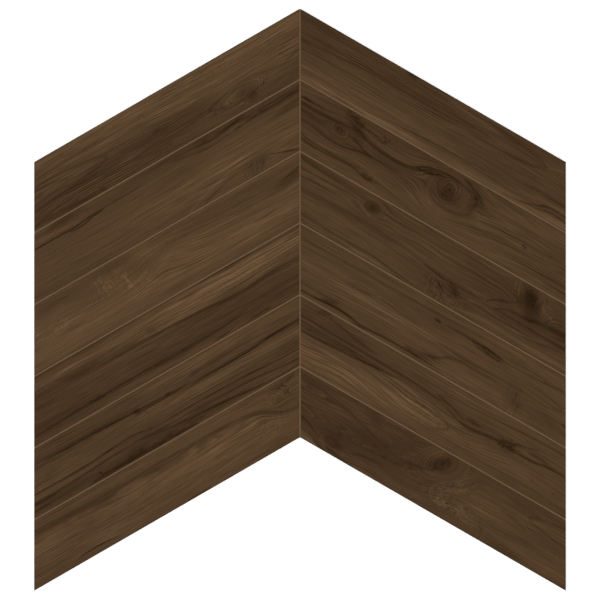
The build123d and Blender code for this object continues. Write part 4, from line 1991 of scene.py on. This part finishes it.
LEFT_5 = PlankPrint(tone=0.49, seed=113.0, lines=1.15, marks=(
    band(((0, 71), (100, 71), (220, 74)), 9, 0.09),
    band(((60, 5), (120, 7), (170, 9), (220, 14)), 8, -0.07),
    cloud((300, 6), (60, 9), -0.08),
    Patch((205, 24), (32, 12), -0.08, soft=0.7),
    cloud((165, 47), (44, 5), 0.09),
    cloud((150, 37), (70, 7), 0.05),
    cloud((270, 62), (90, 8), -0.06),
    cloud((290, 43), (64, 10), -0.07),
    cloud((312, 27), (44, 7), 0.06),
    broken((190, 6), (90, 6), -0.16, 1, 1.5, 9.0),
    broken((290, 56), (60, 5), -0.10, 2, 1.5, 9.0),
    band(((40, 5), (120, 7), (220, 8), (346, 8)), 6, -0.04),
    cloud((110, 16), (50, 6), -0.05),
    Streak(((0, 54), (40, 53), (70, 51), (140, 51), (210, 52)), 2.2, 2.6, -0.17),
    Streak(((0, 52.5), (40, 52.5), (62, 50), (78, 49.5), (140, 50)), 0.9, 1.0, -0.22),
    Streak(((140, 53), (180, 54), (215, 55), (250, 57), (300, 58.5), (334, 59)), 1.8, 1.4, -0.22),
    Streak(((150, 51.5), (190, 51.5), (216, 52)), 1.0, 0.9, -0.18),
    Streak(((60, 60), (100, 62), (144, 60.5)), 4, 3, -0.12, ragged=0.8),
    Patch((138, 60.5), (8, 3.2), -0.06, ragged=0.3),
    Streak(((200, 59), (260, 60), (346, 61)), 3.5, 2, -0.10),
    band(((0, 40), (60, 42), (120, 41), (170, 41)), 5, 0.14),
    Streak(((0, 71), (70, 70), (130, 67), (160, 67)), 1.6, 1.6, 0.08, carry=6),
    Streak(((0, 20), (35, 21.5), (70, 24), (130, 25.5), (190, 25)), 0.9, 1.2, -0.22),
    Streak(((186, 25), (202, 27.5), (214, 30), (240, 29.5), (262, 27), (346, 27)), 1.2, 1.4, -0.26),
    Streak(((50, 30), (100, 31.5), (150, 32.5), (200, 34)), 1.0, 1.2, -0.12),
    Streak(((0, 9), (30, 12), (60, 15.5), (100, 17), (150, 19)), 1.0, 1.4, -0.18),
    Streak(((0, 1), (50, 3.5), (100, 9), (150, 13), (190, 17.5), (216, 21)), 1.2, 1.6, -0.20),
    band(((150, 18.5), (190, 19.5), (216, 22)), 0.9, -0.16),
    Streak(((212, 20.5), (240, 20), (280, 17.5), (320, 16), (346, 16)), 1.3, 1.5, -0.26),
    Streak(((262, 11), (300, 9), (346, 7.5)), 1.0, 1.2, -0.18),
    Patch((334, 14), (18, 2.4), -0.12, ragged=0.4),
    Streak(((130, 2), (170, 2.5), (230, 4), (276, 2)), 3.2, 4, -0.26, ragged=0.8),
    Patch((215, 10), (14, 5), -0.09, turn=12, soft=0.7, ragged=0.3),
    Streak(((0, 26), (100, 28), (200, 30)), 6, 10, -0.04),
    band(((290, 36), (320, 31), (346, 30)), 2.0, 0.06),
    Figure((335, 31), (18, 4), 0.10, slant=75, pitch=3.2, stretch=2),
    Patch((172, 54.5), (4, 1.4), -0.12, ragged=0.5),
    Patch((212, 54), (6, 3.2), -0.08, turn=50, ragged=0.5),
    band(((196, 42), (199, 47), (203, 50)), 1.5, -0.10),
    band(((255, 4), (258, 8), (262, 11)), 1.2, -0.22),
    cloud((280, 44), (70, 9), 0.07),
))

LEFT_6 = PlankPrint(tone=0.60, seed=127.0, lines=1.25, marks=(
    Streak(((50, 46), (120, 44), (200, 44), (270, 44)), 11, 12, 0.13),
    cloud((296, 40), (60, 9), -0.05),
    cloud((330, 42), (40, 9), 0.07),
    cloud((95, 42), (40, 12), 0.04),
    cloud((76, 50), (24, 7), 0.07),
    cloud((190, 16), (26, 6), -0.06),
    cloud((220, 53), (26, 6), -0.08),
    cloud((20, 54), (40, 8), -0.06),
    cloud((225, 60), (50, 4), -0.05),
    cloud((180, 32), (50, 8), -0.05),
    cloud((320, 18), (44, 10), -0.06),
    broken((200, 34), (150, 20), -0.05, 0, 1.4, 9.0),
    broken((40, 30), (26, 12), 0.12, 70, 1.6, 2.4),
    broken((22, 66), (20, 10), -0.15, 36, 1.6, 3.0, turn=20),
    broken((24, 62), (20, 12), 0.13, -28, 1.7, 3.0),
    band(((140, 26), (240, 22), (346, 20)), 8, -0.05),
    band(((0, 74), (90, 76), (180, 74)), 6, -0.05),
    Patch((165, 5), (46, 6), -0.09, soft=0.7, ragged=0.4),
    Streak(((0, 36.5), (16, 38.5), (34, 46), (54, 55), (80, 59.5), (120, 61.5)), 2.6, 3.0, -0.18, carry=9),
    Streak(((90, 61), (160, 61.5), (230, 62), (290, 61), (346, 61)), 5, 4.5, -0.17, ragged=0.8),
    band(((240, 64), (290, 64), (346, 65)), 5, -0.10, ragged=0.8),
    Streak(((90, 62), (130, 62), (170, 61.5)), 1.0, 1.2, -0.10),
    Streak(((170, 73), (240, 76), (346, 73)), 6, 5, -0.08),
    Patch((12, 50), (20, 6), -0.05, turn=20),
    Patch((20, 73), (16, 5), -0.12, turn=-14, soft=0.6, ragged=0.4),
    band(((4, 77), (12, 74), (20, 72)), 1.2, -0.16, ragged=1.0),
    band(((24, 67.5), (31, 71), (40, 74)), 1.2, -0.18, ragged=0.8),
    Patch((16, 60), (4, 2.0), -0.12, turn=45, ragged=0.4),
    band(((0, 61), (10, 60), (18, 55)), 1.0, 0.10),
    Figure((28, 65), (24, 13), 0.08, slant=40, pitch=3.0, stretch=4),
    Figure((32, 32), (28, 14), 0.075, slant=104, pitch=2.6, stretch=4),
    band(((60, 70), (110, 73), (160, 73)), 2.0, 0.06),
    Streak(((150, 55), (180, 54), (205, 57), (232, 56), (248, 51)), 1.2, 1.0, 0.08),
    band(((172, 54), (186, 56), (200, 57)), 0.9, -0.14, ragged=0.8),
    band(((240, 53), (252, 50.5), (280, 52), (346, 53)), 1.2, -0.10),
    Streak(((40, 42), (90, 45), (150, 45), (190, 40), (230, 34), (262, 32.5), (300, 36), (346, 36)),
        1.0, 1.2, -0.12),
    Streak(((200, 37), (240, 30), (270, 30), (320, 32)), 1.0, 1.2, -0.07),
    band(((180, 20), (240, 18), (300, 22), (346, 24)), 1.4, 0.06),
    cloud((200, 24), (120, 14), 0.05),
    band(((232, 5.5), (246, 8), (262, 9), (288, 8)), 0.9, -0.20, ragged=0.7),
    Streak(((246, 8), (270, 8.5), (290, 7)), 2.0, 1.4, -0.12),
    Streak(((0, 4), (60, 6), (110, 9)), 1.4, 4, -0.10),
    Patch((132, 1.5), (14, 2.4), -0.12, ragged=0.4),
    cloud((300, 3), (70, 5), -0.07),
))

PRINTS: dict[Side, tuple[PlankPrint, ...]] = {
    Side.RIGHT: (RIGHT_1, RIGHT_2, RIGHT_3, RIGHT_4, RIGHT_5, RIGHT_6),
    Side.LEFT: (LEFT_1, LEFT_2, LEFT_3, LEFT_4, LEFT_5, LEFT_6),
}


@dataclass
class Sheet:
    """The whole sheet: twelve printed planks and the filled joints between them."""

    sizes: SheetSizes
    finish: PrintFinish = field(default_factory=PrintFinish)
    filler_finish: FillerFinish = field(default_factory=FillerFinish)
    groups: MarkGroups = field(default_factory=MarkGroups)
    # Painted shade along the plank edges, standing in for the shade on the rounded edges: little beside a
    # joint, more on the bare edges round the sheet.
    joint_edge_painted_shade: float = 0.04
    bare_edge_painted_shade: float = 0.20
    bare_left_edge_painted_shade: float = 0.08

    def edges(self, side: Side, row: int) -> Edges:
        """Says how much painted shade darkens a plank's edges: more where they are bare than beside a joint.

        Args:
            side: The plank's column.
            row: Its row, 0 at the point.

        Returns:
            The painted shade of its upper, lower, inner and outer edges.
        """
        upper = self.bare_edge_painted_shade if row == 0 else self.joint_edge_painted_shade
        lower = self.bare_edge_painted_shade if row == self.sizes.rows - 1 else self.joint_edge_painted_shade
        outer = self.bare_edge_painted_shade if side is Side.RIGHT else self.bare_left_edge_painted_shade
        return upper, lower, self.joint_edge_painted_shade, outer

    def lay_planks(self) -> None:
        """Builds every plank with its own print."""
        shape = PlankShape(self.sizes)
        for side, prints in PRINTS.items():
            for row, plank in enumerate(prints):
                layout = Layout.on_slope(self.sizes, side, self.sizes.lower_edge(row))
                name = f"walnut_print_{side.name.lower()}_{row + 1}"
                edges = self.edges(side, row)
                material = self.finish.make(name, self.groups, layout, self.sizes, plank, edges)
                shape.make(side, row, material)

    def fill_joints(self) -> None:
        """Fills every joint between two planks."""
        filler = JointFiller(self.sizes)
        material = self.filler_finish.make()
        last = self.sizes.rows - 1
        for side in Side:
            for row in range(last):
                filler.make_row(side, row, material)
        filler.make_spine(0, last // 2, material)
        filler.make_spine(last // 2 + 1, last, material)


@dataclass
class Studio:
    """The white floor, the even light and the camera straight above the sheet."""

    frame_width: float = 783.8 * MM
    face_height: float = 9.0 * MM
    aim_y: float = -0.15 * MM
    lens: float = 100.0
    sensor: float = 36.0
    sky: float = 0.70
    sun: float = 0.30
    sun_spread: float = math.radians(40.0)
    sun_turn: tuple[float, float, float] = (math.radians(12.0), math.radians(-14.0), 0.0)
    floor_size: float = 12.0
    floor_drop: float = 0.1 * MM
    floor_tint: Colour = (236, 236, 236)
    floor_lift: float = 0.43

    def place_camera(self) -> None:
        """Puts the camera where the sheet fills the frame as wanted."""
        data = bpy.data.cameras.new("camera")
        data.lens = self.lens
        data.sensor_width = self.sensor
        data.clip_end = 50.0
        camera = bpy.data.objects.new("camera", data)
        height = self.face_height + self.frame_width * self.lens / self.sensor
        camera.location = (0.0, self.aim_y, height)
        bpy.context.scene.collection.objects.link(camera)
        bpy.context.scene.camera = camera

    def seen(self, sketch: NodeSketch) -> Signal:
        """Tells the rays that see the background, straight or in a gloss, from those that light.

        Args:
            sketch: The sketch of the world or the floor.

        Returns:
            1 for a ray that sees, else 0.
        """
        node = sketch.add("ShaderNodeLightPath")
        names = ("Is Camera Ray", "Is Glossy Ray", "Is Transmission Ray")
        camera, glossy, through = (Signal(sketch, node.outputs[name]) for name in names)
        return camera.apply("MAXIMUM", glossy).apply("MAXIMUM", through)

    def light(self) -> None:
        """Lights the sheet evenly, from a pale sky and a wide soft sun overhead."""
        world = bpy.data.worlds.new("sky")
        world.use_nodes = True
        sketch = NodeSketch(world.node_tree)
        background = world.node_tree.nodes["Background"]
        background.inputs["Color"].default_value = (1.0, 1.0, 1.0, 1.0)
        sketch.join(background.inputs["Strength"], self.seen(sketch) * (1.0 - self.sky) + self.sky)
        bpy.context.scene.world = world
        data = bpy.data.lights.new("sun", "SUN")
        data.energy = self.sun * math.pi
        data.angle = self.sun_spread
        sun = bpy.data.objects.new("sun", data)
        sun.rotation_euler = self.sun_turn
        bpy.context.scene.collection.objects.link(sun)

    def lay_floor(self) -> None:
        """Lays a floor that shows white round the sheet and still takes its shadow."""
        half = self.floor_size / 2
        corners = [(-half, -half), (half, -half), (half, half), (-half, half)]
        mesh = bpy.data.meshes.new("floor")
        mesh.from_pydata([(x, y, -self.floor_drop) for x, y in corners], [], [(0, 1, 2, 3)])
        floor = bpy.data.objects.new("floor", mesh)
        bpy.context.scene.collection.objects.link(floor)
        material, sketch, shader = new_material("floor")
        shader.inputs["Base Color"].default_value = linear(*self.floor_tint)
        shader.inputs["Roughness"].default_value = 0.9
        shader.inputs["Specular IOR Level"].default_value = 0.0
        shader.inputs["Emission Color"].default_value = (1.0, 1.0, 1.0, 1.0)
        sketch.join(shader.inputs["Emission Strength"], self.seen(sketch) * self.floor_lift)
        mesh.materials.append(material)
        floor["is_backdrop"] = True

    def build(self) -> None:
        """Builds the studio and sets how colours are shown."""
        self.place_camera()
        self.light()
        self.lay_floor()
        bpy.context.scene.view_settings.view_transform = "Standard"


def corners(box: tuple[Vector, Vector]) -> list[list[float]]:
    """Gives a box's two corners as plain lists of numbers."""
    return [list(corner) for corner in box]


def main() -> None:
    """Builds the studio and the sheet."""
    logging.basicConfig(level=logging.INFO, format="%(name)s: %(message)s")
    sizes = SheetSizes.from_model()
    Studio().build()
    sheet = Sheet(sizes)
    sheet.lay_planks()
    sheet.fill_joints()
    visual_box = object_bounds()
    {"cad": corners(MODEL_BOX), "visual": corners(visual_box)}


if __name__ == "__main__":
    main()
